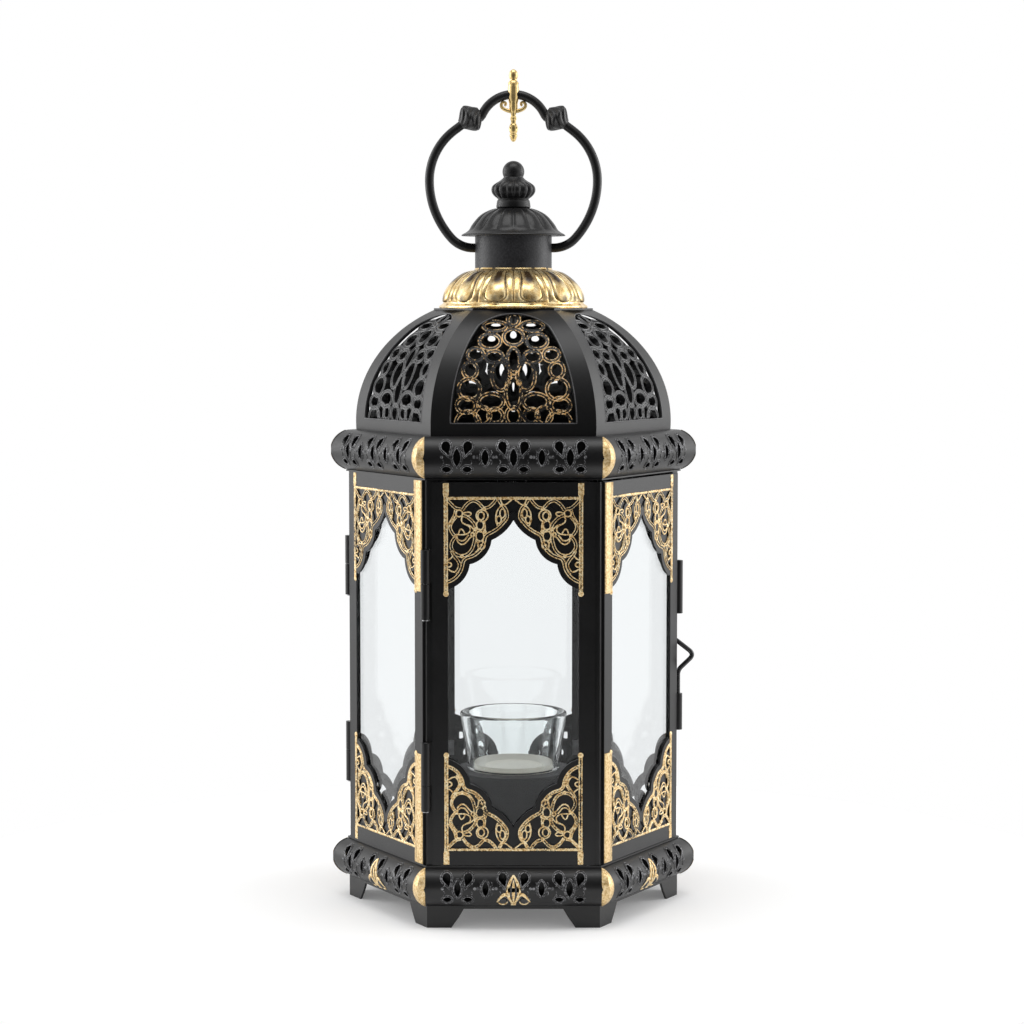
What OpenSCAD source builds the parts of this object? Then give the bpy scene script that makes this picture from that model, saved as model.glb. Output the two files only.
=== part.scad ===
// Hexagonal candle lantern: six pierced sheet panels round a candle stand, two of them
// joined into a door, under a gored dome with lattice grilles, a petalled collar, a fluted
// cap and a swivelling wire bail.
// Millimetres, +Z up. The origin is the middle of the plane that the feet stand on, the
// front panel faces -Y, and face k is the front face turned k * 60 degrees about Z.

/* [Body] */
// Side of the hexagon through the outer faces of the panels
side = 84; // [80:1:90]
// Clear height between the floor plate and the upper frame
body_h = 185.6; // [180:0.2:200]
// Gap between the end of a panel and the corner of the hexagon
panel_inset = 3.1; // [2.9:0.1:3.6]
// Thickness of the panels and of the corner posts
sheet = 1.2; // [1:0.1:1.4]

/* [Panel openings] */
// Width of the arched opening
opening_w = 62.4; // [58:0.2:63]
// Distance from the top of a panel to the upper point of its opening
crown_drop = 18; // [17:0.5:24]
// Distance from the bottom of a panel to the lower point of its opening
sill_rise = 18.4; // [17:0.2:24]
// Height from a point of the opening to its straight jamb
arch_rise = 33; // [30:0.5:36]
// Plain border between the opening and the openwork
border = 2.4; // [2:0.1:3]
// Width of the frame lines round the openwork
frame_line = 1.9; // [1.5:0.1:2.4]
// Distance from the top or bottom of a panel to its frame line
frame_drop = 7.6; // [6:0.2:9]
// Width of the strands of the openwork
strand = 1.6; // [1.2:0.1:1.8]
// Depth of the sunk grounds between the strands of the three front panels
ground_depth = 0.6; // [0.4:0.1:0.8]

/* [Base] */
// Height of the base skirt, feet included
skirt_h = 29.5; // [28:0.5:36]
// Thickness of the skirt and of the upper frame
band = 1.2; // [1:0.1:2]
// Set-back of the skirt and the upper frame from the faces of the panels
band_inset = 0.7; // [0.5:0.1:0.9]
// Height of the gaps between the feet
foot_h = 9.2; // [8:0.2:12]
// Length of a foot along the skirt at the ground
foot_len = 11.7; // [9:0.1:15]
// Length of a foot along the skirt where the gap ends
foot_top_len = 17.7; // [16:0.1:22]
// Thickness of the floor plate
floor_t = 0.8; // [0.6:0.1:1.5]

/* [Half-round mouldings] */
// How far the mouldings stand out from the skirt and the upper frame
moulding_out = 7.25; // [6:0.25:9]
// Height of the lower moulding
lower_moulding_h = 18.9; // [16:0.1:20]
// Height of the upper moulding
upper_moulding_h = 20; // [16:0.5:24]
// Wall of the mouldings
moulding_wall = 1.2; // [1:0.1:1.6]
// Distance between the groups of piercings along a moulding
motif_pitch = 26.8; // [25:0.2:27]

/* [Upper frame] */
// Thickness of the frame's ledges
ledge_t = 0.7; // [0.6:0.1:1.2]
// Width of the frame's lower ledge
lower_ledge_w = 4.2; // [4:0.1:8]
// Width of the frame's upper ledge
upper_ledge_w = 9; // [8:0.5:12]

/* [Door, hinges and latch] */
// Play below the door
door_play = 0.3; // [0.3:0.1:0.6]
// Gap above the door
door_gap = 1; // [0.6:0.1:1.6]
// Radius of the rolled knuckles
knuckle_r = 2.26; // [2.2:0.02:2.4]
// Radius of the pins
pin_r = 1; // [0.8:0.05:1.05]
// Running clearance of a pin or wire in its knuckle
pin_play = 0.05; // [0.03:0.01:0.08]
// Set-back of the fixed corners' knuckles from the corners of the hexagon
knuckle_inset = 1.6; // [1.4:0.05:1.7]
// Radius of the latch wire
latch_r = 1.15; // [1:0.05:1.2]
// Set-back of the latch's axis from its corner of the hexagon
latch_inset = 0.9; // [0.7:0.05:1]
// Reach of the latch's finger loop from its axis
latch_reach = 7.2; // [6:0.2:8]

/* [Glass] */
// Thickness of the panes
pane_t = 2; // [1.5:0.1:2.5]
// Lap of a pane over the panel on each side of the opening
pane_lap = 2.8; // [2:0.1:2.8]
// Distance of a pane from the top and bottom of its panel
pane_margin = 3; // [2:0.5:6]

/* [Dome] */
// Radius of the curve of the gores
gore_r = 62.17; // [60:0.5:66]
// Set-back of the dome's foot from the upper frame
dome_inset = 3.85; // [3.5:0.05:5]
// Distance of the gores' heads from the lantern's axis
crown_apothem = 34.4; // [33:0.2:36]
// Height of the dome
dome_h = 59.8; // [56:0.2:60]
// Thickness of the gores
gore_t = 1.2; // [1:0.1:1.5]
// Width of the gore's rim beside its window
gore_rim = 9.3; // [7:0.1:10]
// Height of the gore's rim below its window
gore_sill = 6; // [5:0.1:8]
// Thickness of the lattices
lattice_t = 2.8; // [2:0.1:3.2]
// Width of the lattice's strands
lattice_strand = 1.9; // [1.5:0.1:2.2]

/* [Crown] */
// Thickness of the crown plate
crown_t = 0.9; // [0.8:0.1:1.5]
// Height of the petalled collar
collar_h = 19.9; // [17:0.1:24]
// Radius of the collar's rim
collar_r = 37.4; // [36:0.2:40]
// Number of petals
petals = 12; // [11:1:14]
// Radius of the neck drum
neck_r = 19.15; // [17:0.05:21]
// Height of the neck drum
neck_h = 16; // [14:0.5:20]
// Height of the bail's bearing above the foot of the neck
bail_rise = 10.05; // [8:0.05:11]
// Radius of the cap's rim
cap_r = 25.9; // [24:0.1:26]
// Height of the cap
cap_h = 13.8; // [12:0.2:18]
// Number of the cap's flutes
cap_flutes = 18; // [14:1:20]
// Height of the finial
finial_h = 23.4; // [20:0.2:28]
// Number of the finial's flutes
finial_flutes = 16; // [12:1:18]
// Radius of the tie stud
stud_r = 2; // [1.5:0.1:2.5]

/* [Bail] */
// Radius of the bail's wire
bail_r = 2.25; // [2:0.05:2.4]
// Half width of the bail at its widest point
bail_half_w = 41.8; // [40:0.2:44]
// Height of that point above the bail's bearing
bail_bow_rise = 33.3; // [32:0.1:35]
// Radius of the bow below its widest point
bow_low_r = 42.5; // [41:0.5:44]
// Radius of the bow above its widest point
bow_high_r = 31; // [30:0.5:32]
// Radius of the bail's top
bail_top_r = 17; // [15:0.5:19]
// Height of the wire's centre at the top above the bail's bearing
bail_top_rise = 75.9; // [74:0.1:78]
// Length of a bead along the wire
bead_len = 9.6; // [8:0.1:11]
// Radius of a bead
bead_r = 6.6; // [5.5:0.1:7]

/* [Candle] */
// Height of the candle stand
stand_h = 34.7; // [28:0.1:38]
// Radius of the stand's top
stand_r = 30; // [28:0.5:32]
// Wall of the stand
stand_wall = 1; // [0.8:0.1:1.5]
// Gap between the cup and the stand
cup_gap = 0.3; // [0.2:0.05:0.4]
// Height of the glass cup
cup_h = 29.1; // [26:0.1:32]
// Outer radius of the cup at its foot
cup_foot_r = 23.5; // [22:0.1:25]
// Outer radius of the cup at its rim
cup_rim_r = 26.9; // [25:0.1:28]
// Wall of the cup
cup_wall = 2.6; // [2:0.1:3]

/* [Hidden] */
$fn = 48;

// Faces, counted anticlockwise seen from above
FRONT = 0;
RIGHT = 1;
RIGHT_BACK = 2;
BACK = 3;
LEFT_BACK = 4;
LEFT = 5;

eps = 0.01;
apothem = side * cos(30);
band_apothem = apothem - band_inset;
panel_half = side / 2 - panel_inset;
fixed_knuckle_d = side - knuckle_inset;
latch_d = side - latch_inset;
pane_w = opening_w + 2 * pane_lap;
floor_z = skirt_h + floor_t;
frame_z = floor_z + body_h;
door_h = body_h - door_play - door_gap;
upper_moulding_z = frame_z + ledge_t;
dome_z = upper_moulding_z + upper_moulding_h;
crown_z = dome_z + dome_h;
collar_z = crown_z + crown_t;
neck_z = collar_z + collar_h;
bail_z = neck_z + bail_rise;
cap_z = neck_z + neck_h;
finial_z = cap_z + cap_h;
stand_z = floor_z + stand_h;
cup_z = stand_z + cup_gap;

// Knuckle pairs: foot, split and head of each, above the floor plate, as shares of body_h
hinge_pairs = body_h * [[0.1433, 0.2091, 0.3211], [0.6412, 0.7328, 0.8206]];
fixed_pairs = body_h * [[0.1546, 0.2392, 0.3168], [0.6643, 0.7473, 0.8249]];
latch_barrels = body_h * [[0.2942, 0.3933], [0.6126, 0.757]];
knuckle_gap = 0.3;
notch_play = 0.35;
pin_head_r = 1.6;
pin_head_h = 0.6;

// Corner posts and glass clips
jamb_play = 0.3;
clip_gap = 0.2;
clip_foot = 1.9;
clip_lap = 2.5;
clip_t = 0.8;
clip_h = 8;
clip_heights = body_h * [0.16, 0.835];

// Half side of the hexagon at a depth behind the outer faces
function half_side(depth) = (apothem - depth) * tan(30);

// The posts' legs start beside the feet of the clips
leg_start = pane_w / 2 + clip_foot + 2 * clip_gap;

// Places its children on face k: x along the face, y inwards from its outer plane
module on_face(k) {
    rotate([0, 0, 60 * k])
        translate([0, -apothem, 0])
            children();
}

// Extrudes an elevation (x, z) inwards from a plane at y = 0
module plate(t) {
    translate([0, t, 0])
        rotate([90, 0, 0])
            linear_extrude(t)
                children();
}

// Extrudes a cross-section (distance from the axis, z) along the front face
module along_face() {
    rotate([90, 0, -90])
        linear_extrude(3 * side, center = true)
            children();
}

// The sixth of space in front of the lantern's axis, less an inset at both mitres
module sector(z0, z1, inset = 0) {
    reach = 2 * side;
    start = inset / tan(30);
    translate([0, 0, z0])
        linear_extrude(z1 - z0)
            polygon([[0, -start], [-reach * tan(30) + inset, -reach],
                     [reach * tan(30) - inset, -reach]]);
}

// Regular hexagon with sides toward -Y and +Y
module hexagon(a) {
    circle(r = a / cos(30), $fn = 6);
}

module hex_ring(a_out, a_in, z0, z1) {
    translate([0, 0, z0])
        linear_extrude(z1 - z0)
            difference() {
                hexagon(a_out);
                hexagon(a_in);
            }
}

// ---- Base ----

foot_gap_half = band_apothem * tan(30) - foot_len;
foot_gap_top_half = band_apothem * tan(30) - foot_top_len;
foot_knee = 0.55;

module foot_gap() {
    knee_half = (foot_gap_half + foot_gap_top_half) / 2 - 0.6;
    polygon([[-foot_gap_half, -1], [-foot_gap_half, 0], [-knee_half, foot_h * foot_knee],
             [-foot_gap_top_half, foot_h], [foot_gap_top_half, foot_h],
             [knee_half, foot_h * foot_knee], [foot_gap_half, 0], [foot_gap_half, -1]]);
}

module base_skirt() {
    color("dimgray")
        difference() {
            hex_ring(band_apothem, band_apothem - band, 0, skirt_h);
            for (k = [0 : 5])
                on_face(k)
                    translate([0, -1, 0])
                        plate(band_inset + band + 3)
                            foot_gap();
        }
}

rivet_r = 1.5;
rivet_play = 0.05;
rivet_head_r = 2.8;
rivet_head_h = 1;
stand_flange = 7;
rivet_circle = stand_r + 1.5 + stand_flange - rivet_head_r - 0.6;

module rivet_places() {
    for (a = [30 : 120 : 270])
        rotate([0, 0, a])
            translate([rivet_circle, 0, 0])
                children();
}

module floor_plate() {
    color("dimgray")
        difference() {
            translate([0, 0, skirt_h])
                linear_extrude(floor_t)
                    hexagon(apothem);
            rivet_places()
                translate([0, 0, skirt_h - 1])
                    cylinder(h = floor_t + 2, r = rivet_r + rivet_play, $fn = 24);
        }
}

// Spun sheet pedestal with a flat top and a riveted foot flange
module candle_stand() {
    foot_r = stand_r + 1.5;
    color("dimgray")
        difference() {
            translate([0, 0, floor_z])
                rotate_extrude($fn = 96)
                    polygon([[0, stand_h], [stand_r, stand_h], [foot_r, stand_wall],
                             [foot_r + stand_flange, stand_wall], [foot_r + stand_flange, 0],
                             [foot_r - stand_wall, 0], [stand_r - stand_wall, stand_h - stand_wall],
                             [0, stand_h - stand_wall]]);
            rivet_places()
                translate([0, 0, floor_z - 1])
                    cylinder(h = stand_wall + 2, r = rivet_r + rivet_play, $fn = 24);
        }
}

module stand_rivets() {
    color("gray")
        rivet_places() {
            translate([0, 0, skirt_h - rivet_head_h])
                cylinder(h = rivet_head_h, r = rivet_head_r, $fn = 24);
            translate([0, 0, skirt_h - eps])
                cylinder(h = floor_t + stand_wall + 2 * eps, r = rivet_r, $fn = 24);
            translate([0, 0, floor_z + stand_wall])
                cylinder(h = rivet_head_h, r = rivet_head_r, $fn = 24);
        }
}

// ---- Half-round mouldings ----

// Cross-section of a hollow half-round moulding with its back on the band
module moulding_section(h) {
    r = (h * h / 4 + moulding_out * moulding_out) / (2 * moulding_out);
    centre = [band_apothem + moulding_out - r, h / 2];
    difference() {
        translate(centre)
            circle(r = r, $fn = 64);
        translate(centre)
            circle(r = r - moulding_wall, $fn = 64);
        translate([band_apothem - 3 * r, -r])
            square([3 * r, h + 2 * r]);
    }
}

// Lens of two arcs, w wide and h high
module lens(w, h) {
    r = (w * w + h * h) / (4 * min(w, h));
    offset_r = r - min(w, h) / 2;
    turn = w > h ? 90 : 0;
    rotate([0, 0, turn])
        intersection() {
            translate([offset_r, 0])
                circle(r = r, $fn = 48);
            translate([-offset_r, 0])
                circle(r = r, $fn = 48);
        }
}

// Round head over a point, leaning by an angle
module bud(r, drop, lean) {
    rotate([0, 0, lean]) {
        circle(r = r, $fn = 24);
        polygon([[-r * cos(20), -r * sin(20)], [0, -drop], [r * cos(20), -r * sin(20)]]);
    }
}

// Piercings of one segment, as shares of the moulding's height h
module piercings(h) {
    for (i = [-1 : 1])
        translate([i * motif_pitch, 0]) {
            translate([0, 0.52 * h])
                lens(0.17 * h, 0.42 * h);
            for (s = [0, 1])
                mirror([s, 0]) {
                    translate([5.2, 0.78 * h])
                        bud(0.105 * h, 0.22 * h, -18);
                    translate([4.9, 0.24 * h])
                        lens(0.22 * h, 0.13 * h);
                }
        }
    for (s = [-1, 1])
        translate([s * motif_pitch / 2, 0.52 * h])
            lens(0.16 * h, 0.38 * h);
}

module moulding(z, h) {
    for (k = [0 : 5])
        rotate([0, 0, 60 * k])
            difference() {
                intersection() {
                    translate([0, 0, z])
                        along_face()
                            moulding_section(h);
                    sector(z - 1, z + h + 1);
                }
                translate([0, -band_apothem - moulding_out - 1, z])
                    plate(moulding_out)
                        piercings(h);
            }
}

module lower_moulding() {
    color("dimgray")
        moulding(skirt_h - lower_moulding_h, lower_moulding_h);
}

module upper_moulding() {
    color("dimgray")
        moulding(upper_moulding_z, upper_moulding_h);
}

module upper_frame() {
    color("dimgray")
        union() {
            hex_ring(apothem, band_apothem - lower_ledge_w, frame_z, upper_moulding_z);
            hex_ring(band_apothem, band_apothem - band, upper_moulding_z - eps, dome_z);
            hex_ring(band_apothem, band_apothem - upper_ledge_w, dome_z - ledge_t, dome_z);
        }
}

// ---- Panels ----

// Points of the opening's right half, from the upper point round to the lower one,
// for a panel of height h, with the swell of the edge that ends at each point
arch_steps = [0, 0.29, 0.64, 1];
arch_swells = [0, 1.2, 2.5, 2.5];

function arch_side(h) = concat(
    [for (i = [0 : 3]) [i * opening_w / 6, h - crown_drop - arch_steps[i] * arch_rise,
                        arch_swells[i]]],
    [for (i = [3 : -1 : 0]) [i * opening_w / 6, sill_rise + arch_steps[i] * arch_rise,
                             i == 3 ? 0 : arch_swells[i + 1]]]);

function unit(v) = v / norm(v);
function xy(p) = [p[0], p[1]];
function normal_left(v) = [-v[1], v[0]];

// Point i of a chain moved away from the opening by d
function pushed(side_points, i, d) =
    let (last = len(side_points) - 1,
         before = xy(side_points[max(i - 1, 0)]),
         after = xy(side_points[min(i + 1, last)]),
         here = xy(side_points[i]))
    i == 0 ? here + [0, d] :
    i == last ? here - [0, d] :
    here + d * normal_left(unit(after - before));

// The opening of a panel of height h, grown by d. Each edge swells into the opening.
module opening(h, d = 0) {
    right = arch_side(h);
    last = len(right) - 1;
    moved = [for (i = [0 : last]) pushed(right, i, d)];
    difference() {
        polygon(concat(moved, [for (i = [last - 1 : -1 : 1]) [-moved[i][0], moved[i][1]]]));
        for (s = [-1, 1])
            for (i = [1 : last])
                if (right[i][2] > 0)
                    swell(xy(right[i - 1]), xy(right[i]), right[i][2], d, s);
    }
}

// Disc whose edge swells by a height over the chord from a to b, shrunk by d
module swell(a, b, height, d, s) {
    chord = norm(b - a);
    r = chord * chord / (8 * height) + height / 2;
    centre = (a + b) / 2 + (r - height) * normal_left(unit(b - a));
    translate([s * centre[0], centre[1]])
        circle(r = r - d, $fn = 96);
}

// Openwork of the corner fields, measured from the frame lines' corner: inwards, then down
rings = [[12.7, 4.7, 3.4], [4.2, 13.4, 3.3], [8.2, 23.1, 5.6], [8.4, 18.1, 3.2], [16.3, 7.7, 3],
         [17.2, 14.4, 2.5], [17.4, 22.2, 2.2], [4.1, 32.4, 3.7], [24.6, 6.9, 2.5], [27.3, 6.6, 2.5]];
bars = [[0, 0, 5.4, 5.4], [5.4, 5.4, 12.6, 0], [12.6, 0, 17.9, 4.8], [17.9, 4.8, 23.6, 0],
        [23.6, 0, 26.3, 3.9], [26.3, 3.9, 32, 0], [5.4, 5.4, 0, 13.2], [0, 13.2, 4.3, 18.8],
        [4.3, 18.8, 0.4, 24], [0.4, 24, 4.4, 29], [14.5, 16, 6.6, 9.2], [14.5, 16, 11.2, 7.4],
        [14.5, 16, 15.8, 10.4], [14.5, 16, 17.6, 20.2]];
// Discs where several bars meet
knots = [[5.4, 5.4], [14.5, 16]];
knot_r = 1.25;

module strand_ring(p) {
    translate([p[0], p[1]])
        difference() {
            circle(r = p[2] + strand / 2, $fn = 32);
            circle(r = p[2] - strand / 2, $fn = 32);
        }
}

module strand_bar(p) {
    run = [p[2] - p[0], p[3] - p[1]];
    translate([p[0], p[1]])
        rotate([0, 0, atan2(run[1], run[0])])
            translate([0, -strand / 2])
                square([norm(run), strand]);
}

module openwork() {
    for (p = rings)
        strand_ring(p);
    for (p = bars)
        strand_bar(p);
    for (p = knots)
        translate(p)
            circle(r = knot_r, $fn = 24);
}

// One corner field: the area between the frame lines and the opening's border
module corner_field(h) {
    inner_x = opening_w / 2 - 0.2;
    top = h - frame_drop - frame_line / 2;
    field_h = arch_rise + crown_drop - frame_drop;
    difference() {
        translate([0, top - field_h])
            square([inner_x, field_h]);
        opening(h, border + frame_line);
        translate([opening_w / 2 + frame_line / 2, h - frame_drop])
            mirror([1, 0])
                mirror([0, 1])
                    openwork();
    }
}

// The grounds between the strands in the four corners of a panel of height h
module corner_fields(h) {
    for (s = [0, 1])
        mirror([s, 0]) {
            corner_field(h);
            translate([0, h])
                mirror([0, 1])
                    corner_field(h);
        }
}

// Elevation of a panel of height h with its opening
module panel_face(h) {
    difference() {
        translate([-panel_half, 0])
            square([2 * panel_half, h]);
        opening(h);
    }
}

// Rolled knuckle at the end of a panel (end = 1 right, -1 left), d from the lantern's axis
module knuckle_at(end, d) {
    translate([end * d / 2, apothem - d * cos(30), 0])
        children();
}

module knuckle(end, d, z0, z1, bore) {
    start = panel_half - 1;
    difference() {
        union() {
            knuckle_at(end, d)
                translate([0, 0, z0])
                    cylinder(h = z1 - z0, r = knuckle_r, $fn = 32);
            translate([end > 0 ? start : -d / 2, 0, z0])
                cube([d / 2 - start, sheet, z1 - z0]);
        }
        knuckle_at(end, d)
            translate([0, 0, z0 - 1])
                cylinder(h = z1 - z0 + 2, r = bore, $fn = 32);
    }
}

// Lower knuckles of a set of pairs stand on face k's right end, the upper ones on k + 1's left
module lower_knuckles(pairs, d) {
    for (p = pairs)
        knuckle(1, d, floor_z + p[0], floor_z + p[1], pin_r + pin_play);
}

module upper_knuckles(pairs, d) {
    for (p = pairs)
        knuckle(-1, d, floor_z + p[1] + knuckle_gap, floor_z + p[2], pin_r + pin_play);
}

module latch_knuckles() {
    for (p = latch_barrels)
        knuckle(-1, latch_d, floor_z + p[0], floor_z + p[1], latch_r + pin_play);
}

// Sheet whose openwork is pierced
module pierced_sheet(z, h) {
    translate([0, 0, z])
        plate(sheet)
            difference() {
                panel_face(h);
                corner_fields(h);
            }
}

// Sheet whose openwork stands on sunk grounds
module sunk_sheet(z, h) {
    translate([0, 0, z])
        difference() {
            plate(sheet)
                panel_face(h);
            translate([0, ground_depth - 2, 0])
                plate(2)
                    corner_fields(h);
        }
}

module door_sheet() {
    sunk_sheet(floor_z + door_play, door_h);
}

module panel_right_back() {
    color("dimgray")
        on_face(RIGHT_BACK)
            union() {
                pierced_sheet(floor_z, body_h);
                latch_knuckles();
                lower_knuckles(fixed_pairs, fixed_knuckle_d);
            }
}

module fixed_panel(k) {
    color("dimgray")
        on_face(k)
            union() {
                pierced_sheet(floor_z, body_h);
                upper_knuckles(fixed_pairs, fixed_knuckle_d);
                lower_knuckles(fixed_pairs, fixed_knuckle_d);
            }
}

module panel_left() {
    color("dimgray")
        on_face(LEFT)
            union() {
                sunk_sheet(floor_z, body_h);
                upper_knuckles(fixed_pairs, fixed_knuckle_d);
                lower_knuckles(hinge_pairs, side);
            }
}

module door_front() {
    color("dimgray")
        on_face(FRONT)
            union() {
                door_sheet();
                upper_knuckles(hinge_pairs, side);
            }
}

module door_side() {
    color("dimgray")
        on_face(RIGHT)
            door_sheet();
}

// ---- Corner posts: bent angles behind the ends of the panels ----

// Corner k lies between the right end of face k and the left end of face k + 1
module at_corner(k, d) {
    rotate([0, 0, 60 * k - 60])
        translate([d, 0, 0])
            children();
}

// Point of a corner's plan at a depth behind a face and s along it (side 1 is face k)
function beside_corner(side, depth, s) =
    [(apothem - depth) * cos(30) + s * sin(30), side * ((depth - apothem) * sin(30) + s * cos(30))];

// Point of a corner's plan where both faces' depths meet
function corner_point(right_depth, left_depth) =
    [(2 * apothem - right_depth - left_depth) / (2 * cos(30)), right_depth - left_depth];

// Bent angle with its legs at these depths behind faces k and k + 1
module post(k, right_depth, left_depth, z0, z1) {
    at_corner(k, 0)
        translate([0, 0, z0])
            linear_extrude(z1 - z0)
                polygon([beside_corner(1, right_depth, leg_start),
                         corner_point(right_depth, left_depth),
                         beside_corner(-1, left_depth, leg_start),
                         beside_corner(-1, left_depth + sheet, leg_start),
                         corner_point(right_depth + sheet, left_depth + sheet),
                         beside_corner(1, right_depth + sheet, leg_start)]);
}

// Clears the knuckles of a corner out of its post
module knuckle_notches(k, pairs, d) {
    for (p = pairs)
        at_corner(k, d)
            translate([0, 0, floor_z + p[0] - pin_head_h - notch_play])
                cylinder(h = p[len(p) - 1] - p[0] + pin_head_h + 2 * notch_play,
                         r = knuckle_r + notch_play, $fn = 32);
}

module fixed_post(k) {
    color("dimgray")
        difference() {
            post(k, sheet, sheet, floor_z, frame_z);
            knuckle_notches(k, fixed_pairs, fixed_knuckle_d);
        }
}

module hinge_jamb() {
    color("dimgray")
        difference() {
            post(LEFT, sheet, sheet + jamb_play, floor_z, frame_z);
            knuckle_notches(LEFT, hinge_pairs, side);
        }
}

module latch_jamb() {
    color("dimgray")
        difference() {
            post(RIGHT, sheet + jamb_play, sheet, floor_z, frame_z);
            knuckle_notches(RIGHT, [[latch_barrels[0][0], latch_barrels[1][1]]], latch_d);
        }
}

module door_corner_strip() {
    color("dimgray")
        post(FRONT, sheet, sheet, floor_z + door_play, floor_z + door_play + door_h);
}

// ---- Glass and clips ----

module pane(k, z, h) {
    color("lightcyan", 0.4)
        on_face(k)
            translate([-pane_w / 2, sheet, z + pane_margin])
                cube([pane_w, pane_t, h - 2 * pane_margin]);
}

module door_pane(k) {
    pane(k, floor_z + door_play, door_h);
}

module fixed_pane(k) {
    pane(k, floor_z, body_h);
}

// Bent tab with its foot on the sheet beside the pane and its lip over the glass
module clip() {
    lip_y = sheet + pane_t;
    foot_x = pane_w / 2 + clip_gap;
    linear_extrude(clip_h)
        polygon([[foot_x, sheet], [foot_x + clip_foot, sheet], [foot_x + clip_foot, lip_y + clip_t],
                 [pane_w / 2 - clip_lap, lip_y + clip_t], [pane_w / 2 - clip_lap, lip_y],
                 [foot_x, lip_y]]);
}

module clips(k) {
    on_face(k)
        for (s = [0, 1])
            mirror([s, 0, 0])
                for (z = clip_heights)
                    translate([0, 0, floor_z + z])
                        clip();
}

module fixed_clips() {
    color("gray")
        for (k = [RIGHT_BACK : LEFT])
            clips(k);
}

module door_clips() {
    color("gray")
        for (k = [FRONT, RIGHT])
            clips(k);
}

// ---- Pins and latch ----

module pins(k, pairs, d) {
    for (p = pairs)
        at_corner(k, d)
            translate([0, 0, floor_z + p[0]]) {
                cylinder(h = p[2] - p[0], r = pin_r, $fn = 24);
                translate([0, 0, -pin_head_h])
                    cylinder(h = pin_head_h, r = pin_head_r, $fn = 24);
            }
}

module corner_pins() {
    color("gray")
        for (k = [RIGHT_BACK, BACK, LEFT_BACK])
            pins(k, fixed_pairs, fixed_knuckle_d);
}

module hinge_pins() {
    color("gray")
        pins(LEFT, hinge_pairs, side);
}

joint_swell = 0.03;

// Straight run and bend of round wire in the plane of x and z
module wire_run(p, q, r) {
    rotate([90, 0, 0])
        translate([p[0], p[1], 0])
            rotate([0, 0, atan2(q[1] - p[1], q[0] - p[0])])
                rotate([0, 90, 0])
                    cylinder(h = norm(q - p), r = r, $fn = 24);
}

module wire_arc(centre, bend_r, a0, a1, r) {
    rotate([90, 0, 0])
        translate([centre[0], centre[1], 0])
            rotate([0, 0, a0])
                rotate_extrude(angle = a1 - a0, $fn = 96)
                    translate([bend_r, 0])
                        circle(r = r, $fn = 24);
}

// Ball that closes a joint or an end of the wire
module wire_ball(p, r) {
    translate([p[0], 0, p[1]])
        sphere(r = r + joint_swell, $fn = 24);
}

// Latch wire: a straight leg in the lower barrel, a finger loop and a hooked tip
latch_foot = latch_barrels[0][0] + 0.6;
latch_knee = latch_barrels[0][1] + 11.8;
latch_loop = latch_knee + 8;
latch_tip = latch_loop + 7.2;
tip_back = 0.9;

module latch_wire() {
    knee = [0, floor_z + latch_knee];
    loop = [latch_reach, floor_z + latch_loop];
    tip = [-tip_back, floor_z + latch_tip];
    color("dimgray")
        at_corner(RIGHT, latch_d)
            union() {
                wire_run([0, floor_z + latch_foot], knee, latch_r);
                wire_ball(knee, latch_r);
                wire_run(knee, loop, latch_r);
                wire_ball(loop, latch_r);
                wire_run(loop, tip, latch_r);
                wire_ball(tip, latch_r);
            }
}

// ---- Dome ----

// The gores' curve runs from the dome's foot to its crown with radius gore_r
dome_foot = [band_apothem - dome_inset, dome_z];
dome_head = [crown_apothem, crown_z];
dome_chord = dome_head - dome_foot;
gore_centre = (dome_foot + dome_head) / 2
    + normal_left(unit(dome_chord)) * sqrt(pow(gore_r, 2) - pow(norm(dome_chord) / 2, 2));
gore_offset = gore_centre[0];
gore_centre_z = gore_centre[1];
window_z0 = dome_z + gore_sill;
window_z1 = crown_z - 1.6;
window_shoulder = 5.8;
lattice_seat = 0.05;

// Distance of the gores' outer face from the axis at a height
function gore_apothem(z) = gore_offset + sqrt(pow(gore_r, 2) - pow(z - gore_centre_z, 2));

// Cross-section (distance from the axis, z) of a curved sheet between two radii
module gore_section(r_out, r_in, z0, z1) {
    intersection() {
        translate([gore_offset, gore_centre_z])
            difference() {
                circle(r = r_out, $fn = 128);
                circle(r = r_in, $fn = 128);
            }
        translate([gore_offset + gore_r / 4, z0])
            square([gore_r, z1 - z0]);
    }
}

// Elevation of a window's arched head
module window_head() {
    half = gore_apothem(window_z1 - window_shoulder) * tan(30) - gore_rim;
    r = (half * half + window_shoulder * window_shoulder) / (2 * window_shoulder);
    intersection() {
        translate([-side, window_z0])
            square([2 * side, window_z1 - window_z0]);
        union() {
            translate([0, window_z1 - r])
                circle(r = r, $fn = 96);
            translate([-side, window_z0])
                square([2 * side, window_z1 - window_shoulder - window_z0]);
        }
    }
}

module gore(k) {
    color("dimgray")
        rotate([0, 0, 60 * k])
            difference() {
                intersection() {
                    along_face()
                        gore_section(gore_r, gore_r - gore_t, dome_z, crown_z);
                    sector(dome_z - 1, crown_z + 1);
                }
                intersection() {
                    sector(dome_z, crown_z, gore_rim);
                    translate([0, -2 * side, 0])
                        plate(2 * side)
                            window_head();
                }
            }
}

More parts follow.
